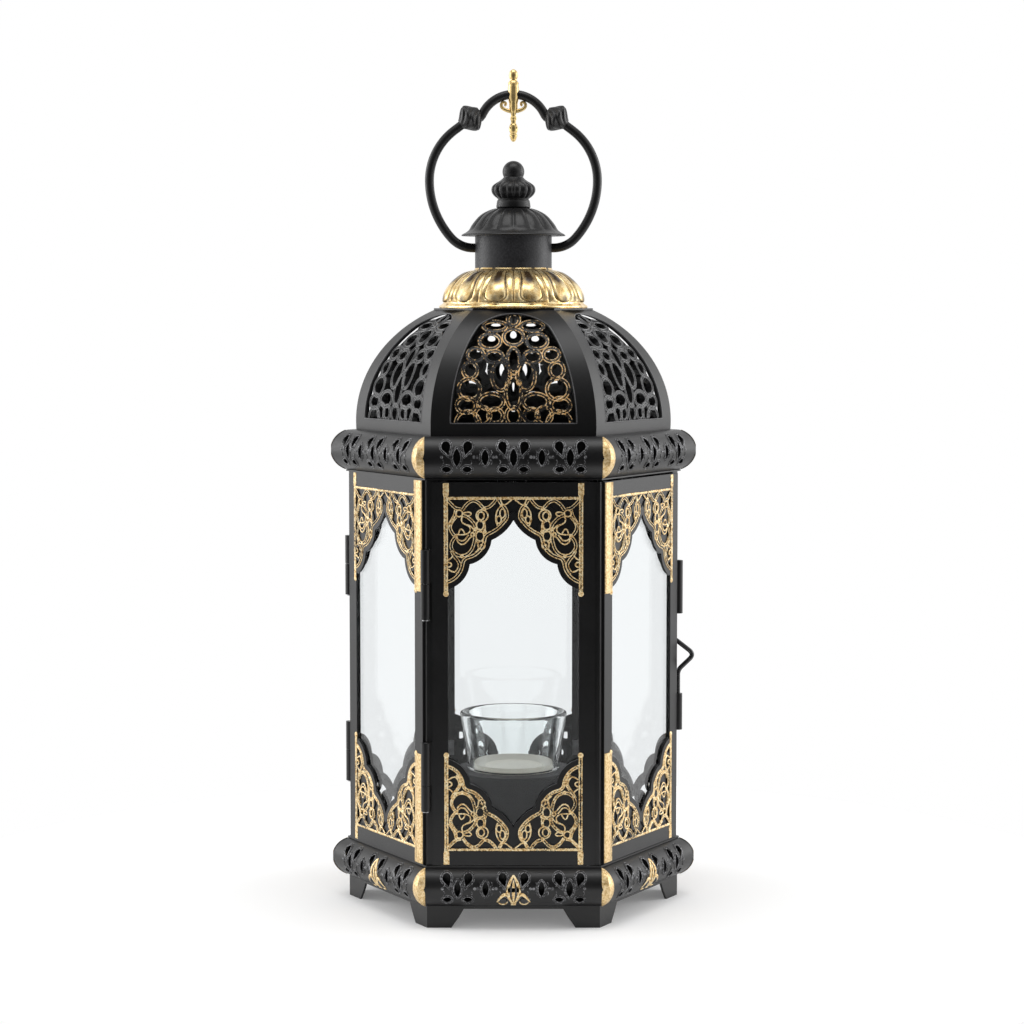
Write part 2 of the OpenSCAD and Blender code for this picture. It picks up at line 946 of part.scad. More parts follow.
// Loops of the lattice: x, height above the window's sill, half width, half height
centre_loops = [[0, 49, 3.8, 3.8], [0, 40.8, 5.8, 4.9], [0, 29.8, 4, 6.8], [0, 14.6, 4.7, 8.8],
                [0, 3.6, 4.5, 5.2]];
side_loops = [[9, 45.9, 6.6, 3.3], [11.3, 38.8, 6.1, 4.6], [18.2, 32.4, 4.9, 4.1],
              [9.2, 31.4, 5.2, 3.9], [20.7, 25.2, 4.4, 4.8], [6, 22.4, 5.3, 7.8],
              [21.1, 16.2, 6.2, 6], [10.6, 10.2, 6.9, 4.9], [22.6, 8.6, 5.6, 4.6],
              [21.8, -0.6, 6.9, 7.4], [14.6, 3.8, 4.7, 5], [8.6, 3.6, 4.5, 4.4]];
loop_sides = 12;
loop_joint = 0.3;

module loop(p) {
    translate([p[0], window_z0 + p[1]])
        difference() {
            oval(p[2], p[3]);
            oval(p[2] - lattice_strand, p[3] - lattice_strand);
        }
}

module oval(rx, rz) {
    polygon([for (i = [0 : loop_sides - 1])
        let (a = (i + 0.5) * 360 / loop_sides) [rx * cos(a), rz * sin(a)]]);
}

module loops() {
    for (p = centre_loops)
        loop(p);
    for (s = [0, 1])
        mirror([s, 0])
            for (p = side_loops)
                loop(p);
}

// Loops of cast openwork on a curved plate behind the window, filled where they meet
module lattice(k) {
    seat_r = gore_r - gore_t - lattice_seat;
    color(k == FRONT ? "darkgoldenrod" : "dimgray")
        rotate([0, 0, 60 * k])
            intersection() {
                along_face()
                    gore_section(seat_r, seat_r - lattice_t, window_z0 - 3, window_z1);
                translate([0, -2 * side, 0])
                    plate(2 * side)
                        offset(delta = -loop_joint)
                            offset(delta = loop_joint)
                                loops();
            }
}

// ---- Crown ----

// Turned solid with flutes: each profile point is [radius, height, flute depth]. The profile
// is a closed loop, or a line between two points on the axis. Twist is in flutes per mm.
function flute(phase) = 1 - cos(90 * (2 * abs(phase - floor(phase) - 0.5)));

module fluted(profile, flutes, facets, twist = 0) {
    n = flutes * facets;
    count = len(profile);
    capped = profile[0][0] == 0;
    first = capped ? 1 : 0;
    last = capped ? count - 2 : count - 1;
    rows = last - first + 1;
    ring_points = [for (i = [first : last]) for (j = [0 : n - 1])
        let (p = profile[i],
             a = 360 * j / n,
             r = p[0] - p[2] * flute(j / facets - twist * p[1]))
        [r * cos(a), r * sin(a), p[1]]];
    poles = capped ? [[0, 0, profile[0][1]], [0, 0, profile[count - 1][1]]] : [];
    bands = [for (i = [0 : (capped ? rows - 2 : rows - 1)]) for (j = [0 : n - 1])
        let (a = i * n + j, b = i * n + (j + 1) % n,
             c = ((i + 1) % rows) * n + (j + 1) % n, d = ((i + 1) % rows) * n + j)
        each [[a, c, b], [a, d, c]]];
    fans = capped ? concat(
        [for (j = [0 : n - 1]) [rows * n, j, (j + 1) % n]],
        [for (j = [0 : n - 1])
            [rows * n + 1, (rows - 1) * n + (j + 1) % n, (rows - 1) * n + j]]) : [];
    polyhedron(points = concat(ring_points, poles), faces = concat(bands, fans));
}

stud_play = 0.1;
stud_bore = stud_r + stud_play;

module crown_plate() {
    color("dimgray")
        translate([0, 0, crown_z])
            difference() {
                linear_extrude(crown_t)
                    hexagon(gore_apothem(crown_z));
                translate([0, 0, -1])
                    cylinder(h = crown_t + 2, r = stud_bore, $fn = 24);
            }
}

neck_wall = 1.2;
collar_wall = 1.4;

module collar() {
    top = neck_r + 0.5;
    inner_top = neck_r - neck_wall;
    bell = [for (t = [0 : 0.2 : 1]) [top + (collar_r - 2 - top) * pow(sin(90 * t), 1.1),
                                    collar_h - 1 - (collar_h - 3.4) * (1 - cos(90 * t))]];
    outer = concat([[top, collar_h, 0.1]],
                   [for (i = [0 : 5]) [bell[i][0], bell[i][1], 0.3 + 1.8 * sin(36 * i)]],
                   [[collar_r, 1, 0.9], [collar_r - 0.2, 0, 0.9]]);
    inner = concat([[collar_r - 2 * collar_wall, 0, 0.9]],
                   [for (i = [4, 2]) [bell[i][0] - 2 * collar_wall, bell[i][1] - collar_wall, 0]],
                   [[inner_top, collar_h, 0]]);
    color("goldenrod")
        translate([0, 0, collar_z])
            rotate([0, 0, -90])
                fluted(concat(outer, inner), petals, 6);
}

// Tube with two bores for the bail's ends
module neck_drum() {
    color("dimgray")
        difference() {
            translate([0, 0, neck_z])
                cylinder(h = neck_h, r = neck_r, $fn = 96);
            translate([0, 0, neck_z - 1])
                cylinder(h = neck_h + 2, r = neck_r - neck_wall, $fn = 96);
            translate([-2 * neck_r, 0, bail_z])
                rotate([0, 90, 0])
                    cylinder(h = 4 * neck_r, r = bail_r + pin_play, $fn = 32);
        }
}

// Fluted dome over a thin flared rim that rests on the neck
module cap() {
    seat = neck_r - neck_wall - 0.5;
    crown_r = seat + 3.6;
    top_r = 8.6;
    arc = [for (a = [8 : 16 : 88]) [top_r + (crown_r - top_r) * cos(a), 1.8 + (cap_h - 1.8) * sin(a)]];
    outer = concat([[cap_r, 0, 0], [cap_r, 0.5, 0], [crown_r + 0.9, 1.3, 0]],
                   [for (i = [0 : 5]) [arc[i][0], arc[i][1], 0.4 + 0.7 * sin(36 * i)]],
                   [[stud_bore, cap_h, 0]]);
    inner = [[stud_bore, cap_h - 1.4, 0], [seat - 4, cap_h - 5, 0], [seat, 0, 0]];
    color("dimgray")
        translate([0, 0, cap_z])
            fluted(concat(outer, inner), cap_flutes, 3);
}

// Ring, fluted bulb, neck and ball, with a blind hole for the stud
finial_bore_h = 9;

module finial() {
    ball_r = 5.4;
    ball_z = finial_h - ball_r;
    bulb = [for (a = [-50 : 20 : 70]) [4.6 + 6 * cos(a), 8.6 + 5.2 * sin(a), 0.9 * cos(a)]];
    ball = [for (a = [-20 : 24 : 76]) [ball_r * cos(a), ball_z + ball_r * sin(a), 0]];
    color("dimgray")
        translate([0, 0, finial_z])
            fluted(concat([[0, finial_bore_h, 0], [stud_bore, finial_bore_h, 0], [stud_bore, 0, 0],
                           [8, 0, 0], [8.4, 1.2, 0], [8.4, 3, 0], [7.8, 4, 0]],
                          bulb, ball, [[0, finial_h, 0]]),
                   finial_flutes, 3);
}

stud_below = 7;

module tie_stud() {
    color("gray")
        translate([0, 0, crown_z - stud_below])
            cylinder(h = finial_z + finial_bore_h - 0.3 - crown_z + stud_below, r = stud_r, $fn = 24);
}

nut_r = 4;
nut_h = 3.2;
washer_r = 6;
washer_t = 1;

// Hexagon nut and washer under the crown plate
module stud_nut() {
    color("gray") {
        difference() {
            translate([0, 0, crown_z - washer_t])
                cylinder(h = washer_t, r = washer_r, $fn = 32);
            translate([0, 0, crown_z - washer_t - 1])
                cylinder(h = washer_t + 2, r = stud_bore, $fn = 24);
        }
        difference() {
            translate([0, 0, crown_z - washer_t - nut_h])
                cylinder(h = nut_h, r = nut_r, $fn = 6);
            translate([0, 0, crown_z - washer_t - nut_h - 1])
                cylinder(h = nut_h + 2, r = stud_r + 0.02, $fn = 24);
        }
    }
}

// ---- Bail ----

bow_z = bail_z + bail_bow_rise;
low_centre = [bail_half_w - bow_low_r, bow_z];
high_centre = [bail_half_w - bow_high_r, bow_z];
top_centre = [0, bail_z + bail_top_rise - bail_top_r];
// Direction of the common tangent's outward normal between the upper bow and the top
centres_gap = high_centre - top_centre;
tangent_a = acos((bail_top_r - bow_high_r) / norm(centres_gap))
    + atan2(centres_gap[1], centres_gap[0]);
tangent_n = [cos(tangent_a), sin(tangent_a)];
high_end = high_centre + bow_high_r * tangent_n;
top_start = top_centre + bail_top_r * tangent_n;
// The lower bow turns into a tighter elbow that ends level with the bearing
elbow_a = -42;
elbow_start = low_centre + bow_low_r * [cos(elbow_a), sin(elbow_a)];
elbow_r = (elbow_start[1] - bail_z) / (1 + sin(elbow_a));
elbow_centre = elbow_start - elbow_r * [cos(elbow_a), sin(elbow_a)];
leg_inside = 4;
leg_head_r = 3.2;
leg_head_t = 1.2;

module bail_half() {
    leg_end = [neck_r - leg_inside, bail_z];
    leg_bend = [elbow_centre[0], bail_z];
    low_end = low_centre + [bow_low_r, 0];
    wire_run(leg_end, leg_end + [leg_head_t, 0], leg_head_r);
    wire_run(leg_end, leg_bend, bail_r);
    wire_arc(elbow_centre, elbow_r, -90, elbow_a, bail_r);
    wire_arc(low_centre, bow_low_r, elbow_a, 0, bail_r);
    wire_arc(high_centre, bow_high_r, 0, tangent_a, bail_r);
    wire_run(high_end, top_start, bail_r);
    for (p = [leg_bend, elbow_start, low_end, high_end, top_start])
        wire_ball(p, bail_r);
}

module bail_wire() {
    color("dimgray")
        union() {
            bail_half();
            mirror([1, 0, 0])
                bail_half();
            wire_arc(top_centre, bail_top_r, tangent_a, 180 - tangent_a, bail_r);
        }
}

bead_play = 0.15;
bead_place = 0.42;
bead_ribs = 10;

// Barrel with twisted ribs round the straight run of the wire
module bead() {
    centre = high_end + bead_place * (top_start - high_end);
    bore = bail_r + bead_play;
    outer = [for (t = [-1 : 1 / 3 : 1.01])
        [bore + 1.2 + (bead_r - bore - 1.2) * sqrt(1 - 0.85 * t * t), t * bead_len / 2,
         abs(t) > 0.99 ? 0 : 0.8]];
    color("dimgray")
        translate([centre[0], 0, centre[1]])
            rotate([0, tangent_side(), 0])
                fluted(concat([[bore, -bead_len / 2, 0]], outer, [[bore, bead_len / 2, 0]]),
                       bead_ribs, 4, 2 / bead_len);
}

// Tilt of the straight run from the vertical
function tangent_side() = atan2(top_start[0] - high_end[0], top_start[1] - high_end[1]);

module bead_right() {
    bead();
}

module bead_left() {
    mirror([1, 0, 0])
        bead();
}

sleeve_half = 2.8;
sleeve_r = 3.7;
sleeve_play = 0.08;

// Cast ornament clasping the top of the bail: knob above, beaded drop below
module bail_ornament() {
    wire_z = bail_z + bail_top_rise;
    color("goldenrod")
        difference() {
            union() {
                intersection() {
                    translate([0, 0, wire_z - 4.6])
                        cylinder(h = 9.2, r = sleeve_r, $fn = 48);
                    translate([-sleeve_half, -10, wire_z - 10])
                        cube([2 * sleeve_half, 20, 20]);
                }
                translate([0, 0, wire_z])
                    rotate_extrude($fn = 48)
                        polygon([[0, -4.7], [2.7, -4.5], [2.2, -7], [1.3, -9.5], [1.9, -10.6],
                                 [1.3, -11.7], [2.1, -13], [1.2, -14.4], [1.8, -15.8],
                                 [1.1, -17.2], [1.5, -18.6], [0.9, -20.2], [0, -23.4]]);
                translate([0, 0, wire_z + 4.4])
                    cylinder(h = 6, r = 1.2, $fn = 24);
                translate([0, 0, wire_z + 5.2])
                    cylinder(h = 1.2, r = 2.2, $fn = 32);
                translate([0, 0, wire_z + 10.2])
                    sphere(r = 2.3, $fn = 32);
                for (s = [-1, 1])
                    translate([s * 3.9, 0, wire_z - 5.6])
                        sphere(r = 2.1, $fn = 32);
            }
            wire_arc(top_centre, bail_top_r, 60, 120, bail_r + sleeve_play);
        }
}

// ---- Cup ----

// Thick-walled glass cup with a rounded rim
module glass_cup() {
    inner_foot = cup_foot_r - cup_wall;
    inner_rim = cup_rim_r - cup_wall;
    floor_h = 4.5;
    color("lightcyan", 0.5)
        translate([0, 0, cup_z])
            rotate_extrude($fn = 96) {
                polygon([[0, 0], [cup_foot_r - 1, 0], [cup_foot_r, 1],
                         [cup_rim_r, cup_h - cup_wall / 2], [inner_rim, cup_h - cup_wall / 2],
                         [inner_foot, floor_h + 1], [inner_foot - 1, floor_h], [0, floor_h]]);
                translate([cup_rim_r - cup_wall / 2, cup_h - cup_wall / 2])
                    circle(r = cup_wall / 2, $fn = 24);
            }
}

base_skirt();
floor_plate();
candle_stand();
stand_rivets();
lower_moulding();
upper_frame();
upper_moulding();
panel_right_back();
fixed_panel(BACK);  // panel_back
fixed_panel(LEFT_BACK);  // panel_left_back
panel_left();
door_front();
door_side();
door_corner_strip();
hinge_jamb();
latch_jamb();
fixed_post(RIGHT_BACK);  // corner_post_right_back
fixed_post(BACK);  // corner_post_left_back
fixed_post(LEFT_BACK);  // corner_post_left
door_pane(FRONT);  // glass_front
door_pane(RIGHT);  // glass_right
fixed_pane(RIGHT_BACK);  // glass_right_back
fixed_pane(BACK);  // glass_back
fixed_pane(LEFT_BACK);  // glass_left_back
fixed_pane(LEFT);  // glass_left
fixed_clips();
door_clips();
corner_pins();
hinge_pins();
latch_wire();
gore(FRONT);  // gore_front
gore(RIGHT);  // gore_right
gore(RIGHT_BACK);  // gore_right_back
gore(BACK);  // gore_back
gore(LEFT_BACK);  // gore_left_back
gore(LEFT);  // gore_left
lattice(FRONT);  // lattice_front
lattice(RIGHT);  // lattice_right
lattice(RIGHT_BACK);  // lattice_right_back
lattice(BACK);  // lattice_back
lattice(LEFT_BACK);  // lattice_left_back
lattice(LEFT);  // lattice_left
crown_plate();
collar();
neck_drum();
cap();
finial();
tie_stud();
stud_nut();
bail_wire();
bead_right();
bead_left();
bail_ornament();
glass_cup();
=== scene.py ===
"""Looks of the hexagonal candle lantern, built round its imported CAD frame."""

import math

import bpy
import numpy as np
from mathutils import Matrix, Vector

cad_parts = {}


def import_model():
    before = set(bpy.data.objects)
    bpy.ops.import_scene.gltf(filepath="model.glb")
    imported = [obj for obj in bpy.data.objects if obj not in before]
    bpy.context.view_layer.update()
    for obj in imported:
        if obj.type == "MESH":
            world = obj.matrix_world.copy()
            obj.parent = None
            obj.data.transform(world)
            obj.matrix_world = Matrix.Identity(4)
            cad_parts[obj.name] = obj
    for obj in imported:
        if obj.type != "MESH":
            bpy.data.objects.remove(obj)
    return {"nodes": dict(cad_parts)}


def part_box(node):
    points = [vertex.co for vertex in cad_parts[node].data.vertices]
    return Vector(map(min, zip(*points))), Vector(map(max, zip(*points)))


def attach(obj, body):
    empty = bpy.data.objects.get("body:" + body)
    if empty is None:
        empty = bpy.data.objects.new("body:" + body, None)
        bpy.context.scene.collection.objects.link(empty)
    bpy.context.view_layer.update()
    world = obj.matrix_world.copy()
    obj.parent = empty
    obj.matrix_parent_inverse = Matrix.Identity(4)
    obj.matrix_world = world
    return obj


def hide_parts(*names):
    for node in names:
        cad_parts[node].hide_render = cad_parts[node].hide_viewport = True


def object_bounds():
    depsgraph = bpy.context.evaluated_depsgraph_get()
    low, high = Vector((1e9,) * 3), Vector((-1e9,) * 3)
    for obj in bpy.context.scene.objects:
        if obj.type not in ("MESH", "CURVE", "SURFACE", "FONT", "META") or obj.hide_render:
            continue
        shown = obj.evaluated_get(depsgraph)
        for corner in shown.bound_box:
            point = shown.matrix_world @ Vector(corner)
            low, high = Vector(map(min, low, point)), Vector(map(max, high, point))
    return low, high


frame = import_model()
CAD_BOX = [list(v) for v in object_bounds()]
MM = 0.001

# ---- Measures of the frame, in millimetres ----


def low(node):
    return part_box(node)[0] / MM


def high(node):
    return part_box(node)[1] / MM


FACES = ("front", "right", "right_back", "back", "left_back", "left")
BODY = {f: "door" if f in ("front", "right") else "lantern" for f in FACES}
SUNK = ("front", "right", "left")
REAR = (2, 3, 4)
APOTHEM = -low("floor_plate").y
BAND = -low("base_skirt").y
TAN30 = math.tan(math.radians(30))
X_AXIS = np.array([1.0, 0.0, 0.0])
FRONT = np.array([0.0, -1.0, 0.0])


def turned(points, k):
    """Points of the front face turned onto face k."""
    a = math.radians(60 * k)
    c, s = math.cos(a), math.sin(a)
    x, y, z = points.T
    return np.column_stack([x * c - y * s, x * s + y * c, z])


# ---- Mesh tools ----


class Build:
    """Points, faces and a value of wear and painted shading for each point of one piece, in
    millimetres.
    """

    def __init__(self, parts=()):
        self.parts = list(parts)

    def add(self, points, faces, wear_and_shading=None):
        points = np.asarray(points, float).reshape(-1, 3)
        wear_and_shading = np.ones(len(points)) if wear_and_shading is None else np.asarray(wear_and_shading, float).ravel()
        self.parts.append((points, faces, wear_and_shading))

    def turned(self, *faces):
        """The front face's parts turned onto one or more faces."""
        return Build((turned(p, k), f, w) for k in faces for p, f, w in self.parts)

    def piece(self, name, material, slot="black_metal", body="lantern", replaces=()):
        points, wear_and_shading_parts, faces, count = [], [], [], 0
        for p, f, w in self.parts:
            points.append(np.clip(p * MM, *CAD_BOX))
            wear_and_shading_parts.append(w)
            faces += (f + count).tolist()
            count += len(p)
        mesh = bpy.data.meshes.new(name)
        mesh.from_pydata(np.concatenate(points).tolist(), [], faces)
        wear_and_shading = mesh.attributes.new("wear_and_shading", "FLOAT", "POINT")
        wear_and_shading.data.foreach_set("value", np.concatenate(wear_and_shading_parts).astype(np.float32))
        mesh.polygons.foreach_set("use_smooth", [True] * len(mesh.polygons))
        mesh.update()
        mesh.materials.append(material)
        obj = linked(name, mesh)
        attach(obj, body)
        if replaces:
            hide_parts(*replaces)


def linked(name, data):
    """New object in the scene."""
    obj = bpy.data.objects.new(name, data)
    bpy.context.scene.collection.objects.link(obj)
    return obj


def grid_faces(rows, columns, wrap_rows=False, wrap_columns=False):
    """Quads of a grid of points stored row by row."""
    r = np.arange(rows if wrap_rows else rows - 1)
    c = np.arange(columns if wrap_columns else columns - 1)
    r, c = np.meshgrid(r, c, indexing="ij")
    r2, c2 = (r + 1) % rows, (c + 1) % columns
    quads = [r * columns + c, r * columns + c2, r2 * columns + c2, r2 * columns + c]
    return np.stack(quads, -1).reshape(-1, 4)


def full_turn(count):
    return np.linspace(0, 2 * math.pi, count, endpoint=False)


def ellipse(x, z, w, h, count):
    a = full_turn(count)
    return np.column_stack([x + w * np.cos(a), z + h * np.sin(a)])


def arc(centre, r, start, end, count):
    a = np.radians(np.linspace(start, end, count))
    return [(centre[0] + r * math.cos(t), centre[1] + r * math.sin(t)) for t in a]


def unit(v):
    return v / np.maximum(np.linalg.norm(v, axis=1)[:, None], 1e-9)


def smooth_step(x, a, b):
    t = np.clip((x - a) / (b - a), 0, 1)
    return t * t * (3 - 2 * t)


def revolve(build, rows, columns, shape=None, place=None, wear_and_shading=None):
    """Turned surface of rows (r, z), which shape(r, z, angle) and place(points) may change."""
    a = np.repeat(full_turn(columns)[None], len(rows), 0)
    r, z = (np.repeat(v[:, None], columns, 1) for v in np.asarray(rows, float).T)
    worn_and_shading = None if wear_and_shading is None else np.repeat(wear_and_shading, columns)
    if shape:
        r, z, worn_and_shading = shape(r, z, a)
    points = np.stack([r * np.cos(a), r * np.sin(a), z], -1).reshape(-1, 3)
    build.add(place(points) if place else points,
              grid_faces(len(rows), columns, False, True), worn_and_shading)


def profile(*half):
    """Symmetric profile of rows (sideways, outwards, wear and painted shading) from its left half.
    """
    return np.array(half + tuple((-x, z, w) for x, z, w in half[::-1] if x))


def sweep(build, path, normal, rows, closed=False):
    """Profile rows (sideways, outwards, any wear and painted shading) carried along a path on a
    surface.
    """
    x, z, *wear_and_shading = np.transpose(rows)
    normal = np.broadcast_to(normal, path.shape)
    if closed:
        along = np.roll(path, -1, 0) - np.roll(path, 1, 0)
    else:
        along = np.gradient(path, axis=0)
    side = unit(np.cross(normal, unit(along)))
    points = path[:, None] + side[:, None] * x[:, None] + normal[:, None] * z[:, None]
    build.add(points, grid_faces(len(path), len(x), closed),
              np.tile(wear_and_shading[0], len(path)) if wear_and_shading else None)


def skin(build, path, radius, columns, side, other):
    """Rings round a path, spanned by two directions at each of its points."""
    a = full_turn(columns)[:, None]
    ring = side[:, None] * np.cos(a) + other[:, None] * np.sin(a)
    build.add(path[:, None] + radius[:, None, None] * ring,
              grid_faces(len(path), columns, False, True))


def tube(build, path, radius, columns, up=FRONT):
    """Round tube of a varying radius along a path."""
    along = unit(np.gradient(path, axis=0))
    side = unit(np.cross(up, along))
    skin(build, path, radius, columns, side, np.cross(along, side))


def resample(path, step, closed=False):
    """Points of a polyline at an even spacing."""
    if closed:
        path = np.concatenate([path, path[:1]])
    along = np.concatenate([[0], np.cumsum(np.linalg.norm(np.diff(path, axis=0), axis=1))])
    count = max(int(round(along[-1] / step)), 3)
    at = np.linspace(0, along[-1], count + 1)[:count if closed else count + 1]
    return np.column_stack([np.interp(at, along, v) for v in path.T])


def flowing(points, step=0.6):
    """Smooth curve through a few points, with its ends along the first and last chords."""
    p = np.reshape(points, (-1, 2)).astype(float)
    p = np.concatenate([[2 * p[0] - p[1]], p, [2 * p[-1] - p[-2]]])
    line = []
    for a, b, c, d in zip(p[:-3], p[1:-2], p[2:-1], p[3:]):
        t = np.linspace(0, 1, max(int(np.linalg.norm(c - b) / step), 3), endpoint=False)[:, None]
        line.append(0.5 * (2 * b + (c - a) * t + (2 * a - 5 * b + 4 * c - d) * t ** 2
                           + (3 * b - a - 3 * c + d) * t ** 3))
    return np.concatenate(line + [p[-2:-1]])


def on_arc(x, z, centre, radius, lift=0.0):
    """Points and normals on the front face's arc about (depth, height), at x and height z."""
    x, z = np.broadcast_arrays(np.asarray(x, float), z)
    s = np.clip((z - centre[1]) / radius, -0.999, 0.999)
    c = np.sqrt(1 - s * s)
    points = [x, -(centre[0] + (radius + lift) * c), centre[1] + (radius + lift) * s]
    return np.stack(points, -1), np.stack([0 * x, -c, s], -1)


def runs(keep):
    """Index runs of a boolean array."""
    edges = np.flatnonzero(np.diff(np.concatenate([[0], keep.astype(int), [0]])))
    return [np.arange(a, b) for a, b in zip(edges[::2], edges[1::2]) if b - a > 3]


def stud(build, centre, normal, radius, rise, columns=16):
    """Low dome on a surface whose normal is square to the x axis."""
    a = full_turn(columns)[:, None]
    forward = np.cross(normal, X_AXIS)
    rows = [centre + radius * math.cos(t) * (np.cos(a) * X_AXIS + np.sin(a) * forward)
            + normal * rise * math.sin(t) for t in np.radians([0, 25, 50, 70, 88])]
    build.add(rows, grid_faces(len(rows), columns, False, True))


# ---- Materials ----


class Tree:
    """Node tree whose sockets get a value, a colour of three or a link."""

    def __init__(self, owner):
        owner.use_nodes = True
        self.tree = owner.node_tree
        self.tree.nodes.clear()

    def put(self, node, sockets):
        for name, value in sockets.items():
            if isinstance(value, bpy.types.NodeSocket):
                self.tree.links.new(value, node.inputs[name])
            else:
                value = (*value, 1) if isinstance(value, tuple) else value
                node.inputs[name].default_value = value

    def new(self, kind, sockets=(), **settings):
        node = self.tree.nodes.new("ShaderNode" + kind)
        for name, value in settings.items():
            setattr(node, name, value)
        self.put(node, dict(sockets))
        return node

    def noise(self, scale, detail=4, rough=0.55):
        """Noise over the piece's own coordinates, with scale in features per metre."""
        place = self.new("TexCoord").outputs["Object"]
        return self.new("TexNoise", {"Scale": scale, "Detail": detail, "Roughness": rough,
                                     "Vector": place}).outputs["Fac"]

    def ramp(self, value, *stops):
        """Colour ramp with stops of (position, colour or grey)."""
        node = self.new("ValToRGB", {0: value})
        elements = node.color_ramp.elements
        while len(elements) < len(stops):
            elements.new(0.5)
        for element, (at, colour) in zip(elements, stops):
            element.position = at
            element.color = (*(colour if isinstance(colour, tuple) else (colour,) * 3), 1)
        return node.outputs[0]

    def math(self, operation, a, b, clamp=False):
        return self.new("Math", {0: a, 1: b}, operation=operation, use_clamp=clamp).outputs[0]

    def mix(self, factor, a, b):
        return self.new("Mix", {"Factor": factor, 6: a, 7: b}, data_type="RGBA").outputs[2]

    def bump(self, height, distance, strength):
        return self.new("Bump", {"Strength": strength, "Distance": distance,
                                 "Height": height}).outputs[0]

    def rays(self):
        """Light path outputs, and 1 for the camera's rays and those through glass."""
        ray = self.new("LightPath").outputs
        return ray, self.math("ADD", ray["Is Camera Ray"], ray["Is Transmission Ray"], True)

    def wear_and_shading(self):
        return self.new("Attribute", attribute_name="wear_and_shading").outputs["Fac"]


class Look(Tree):
    """Material with one principled shader."""

    def __init__(self, name):
        self.material = bpy.data.materials.new(name)
        super().__init__(self.material)
        self.shader = self.new("BsdfPrincipled")
        self.out = self.new("OutputMaterial", {"Surface": self.shader.outputs[0]})

    def dressed(self, sockets):
        self.put(self.shader, sockets)
        return self.material


BLACK = (0.0034, 0.0033, 0.0036)
BLACK_WORN = (0.0075, 0.0073, 0.0079)
GOLD = (0.92, 0.66, 0.32)
GOLD_PALE = (1.0, 0.87, 0.58)
GOLD_DARK = (0.38, 0.2, 0.06)


def powder_black(name, base=BLACK, worn_and_shading=BLACK_WORN, rough=0.36, specular=0.46, grain=2300,
                 relief=0.35):
    """Satin black powder coat: fine grain, faint cloudiness."""
    look = Look(name)
    fine = look.noise(grain, 2, 0.6)
    cloud = look.math("MULTIPLY", look.noise(55, 3), fine)
    return look.dressed({
        "Base Color": look.ramp(cloud, (0.14, base), (0.4, worn_and_shading)),
        "Roughness": look.ramp(fine, (0.3, rough - 0.06), (0.7, rough + 0.08)),
        "Specular IOR Level": specular,
        "Normal": look.bump(fine, 0.00005, relief)})


def rubbed_gold_and_shading(name, cover=0.5, grain=1100, rough=0.36, ground=BLACK, contrast=0.16,
                metallic=0.55, tones=(GOLD_DARK, GOLD, GOLD_PALE), relief=0.55, speckle=1.0,
                tone_scale=900):
    """Gold rubbed over black: it sits where the value of wear and shading is high, and breaks up
    in specks. Given grey tones it paints highlights, and where the value is lowered its dark
    ground paints shade and dark reflections.
    """
    look = Look(name)
    specks, patches = look.noise(grain, 3, 0.7), look.noise(75, 3, 0.5)
    level = look.math("ADD", look.math("MULTIPLY", specks, 0.6),
                      look.math("MULTIPLY", patches, 0.4))
    level = look.math("MULTIPLY", look.math("SUBTRACT", level, 0.5), speckle)
    level = look.math("ADD", level, look.wear_and_shading())
    mask = look.ramp(level, (cover - contrast / 2, 0.0), (cover + contrast / 2, 1.0))
    gold = look.ramp(look.noise(tone_scale, 3, 0.65), *zip((0.33, 0.48, 0.63), tones))
    return look.dressed({
        "Base Color": look.mix(mask, ground, gold),
        "Metallic": look.math("MULTIPLY", mask, metallic),
        "Roughness": look.ramp(specks, (0.3, rough - 0.06), (0.7, rough + 0.16)),
        "Specular IOR Level": 0.35,
        "Normal": look.bump(look.math("ADD", specks, mask), 0.00011, relief)})


def plain_metal(name, colour, rough, metallic=1.0, relief=0.25):
    look = Look(name)
    fine = look.noise(500, 3, 0.6)
    dim = tuple(c * 0.6 for c in colour)
    return look.dressed({
        "Base Color": look.ramp(look.noise(180), (0.32, dim), (0.6, colour)),
        "Metallic": metallic,
        "Roughness": look.ramp(fine, (0.3, rough - 0.06), (0.7, rough + 0.1)),
        "Normal": look.bump(fine, 0.00008, relief)})


def glass(name, tint, ior=1.5):
    """Clear glass with a faint ripple and smears."""
    look = Look(name)
    return look.dressed({
        "Base Color": tint, "Transmission Weight": 1.0, "IOR": ior,
        "Roughness": look.ramp(look.noise(45, 3, 0.6), (0.45, 0.0), (0.75, 0.008)),
        "Normal": look.bump(look.noise(18, 1), 0.0003, 0.2)})


COAT = powder_black("black_coat")
COAT_INNER = powder_black("inner_coat", base=(0.02, 0.022, 0.025), worn_and_shading=(0.045, 0.05, 0.056),
    rough=0.5)
COAT_STAND = powder_black("stand_coat", base=(0.024, 0.024, 0.026), worn_and_shading=(0.034, 0.034, 0.037),
    rough=0.55, specular=0.3, grain=700, relief=0.0)
COAT_GLOSS = powder_black("gloss_coat", base=(0.006, 0.006, 0.007), worn_and_shading=(0.02, 0.02, 0.021),
    rough=0.24, specular=0.7, grain=1600, relief=0.5)
COAT_GRAIN = powder_black("grained_coat", base=(0.014, 0.014, 0.016), worn_and_shading=(0.034, 0.034, 0.038),
    rough=0.42, specular=0.36, grain=1100, relief=1.4)
# Painted highlight: the window edges get a lighter grey coat than the black, standing in for the
# light line along them
EDGE_GREY = powder_black("edge_highlight", base=(0.03, 0.03, 0.032), worn_and_shading=(0.09, 0.09, 0.094),
    rough=0.3, specular=0.6)
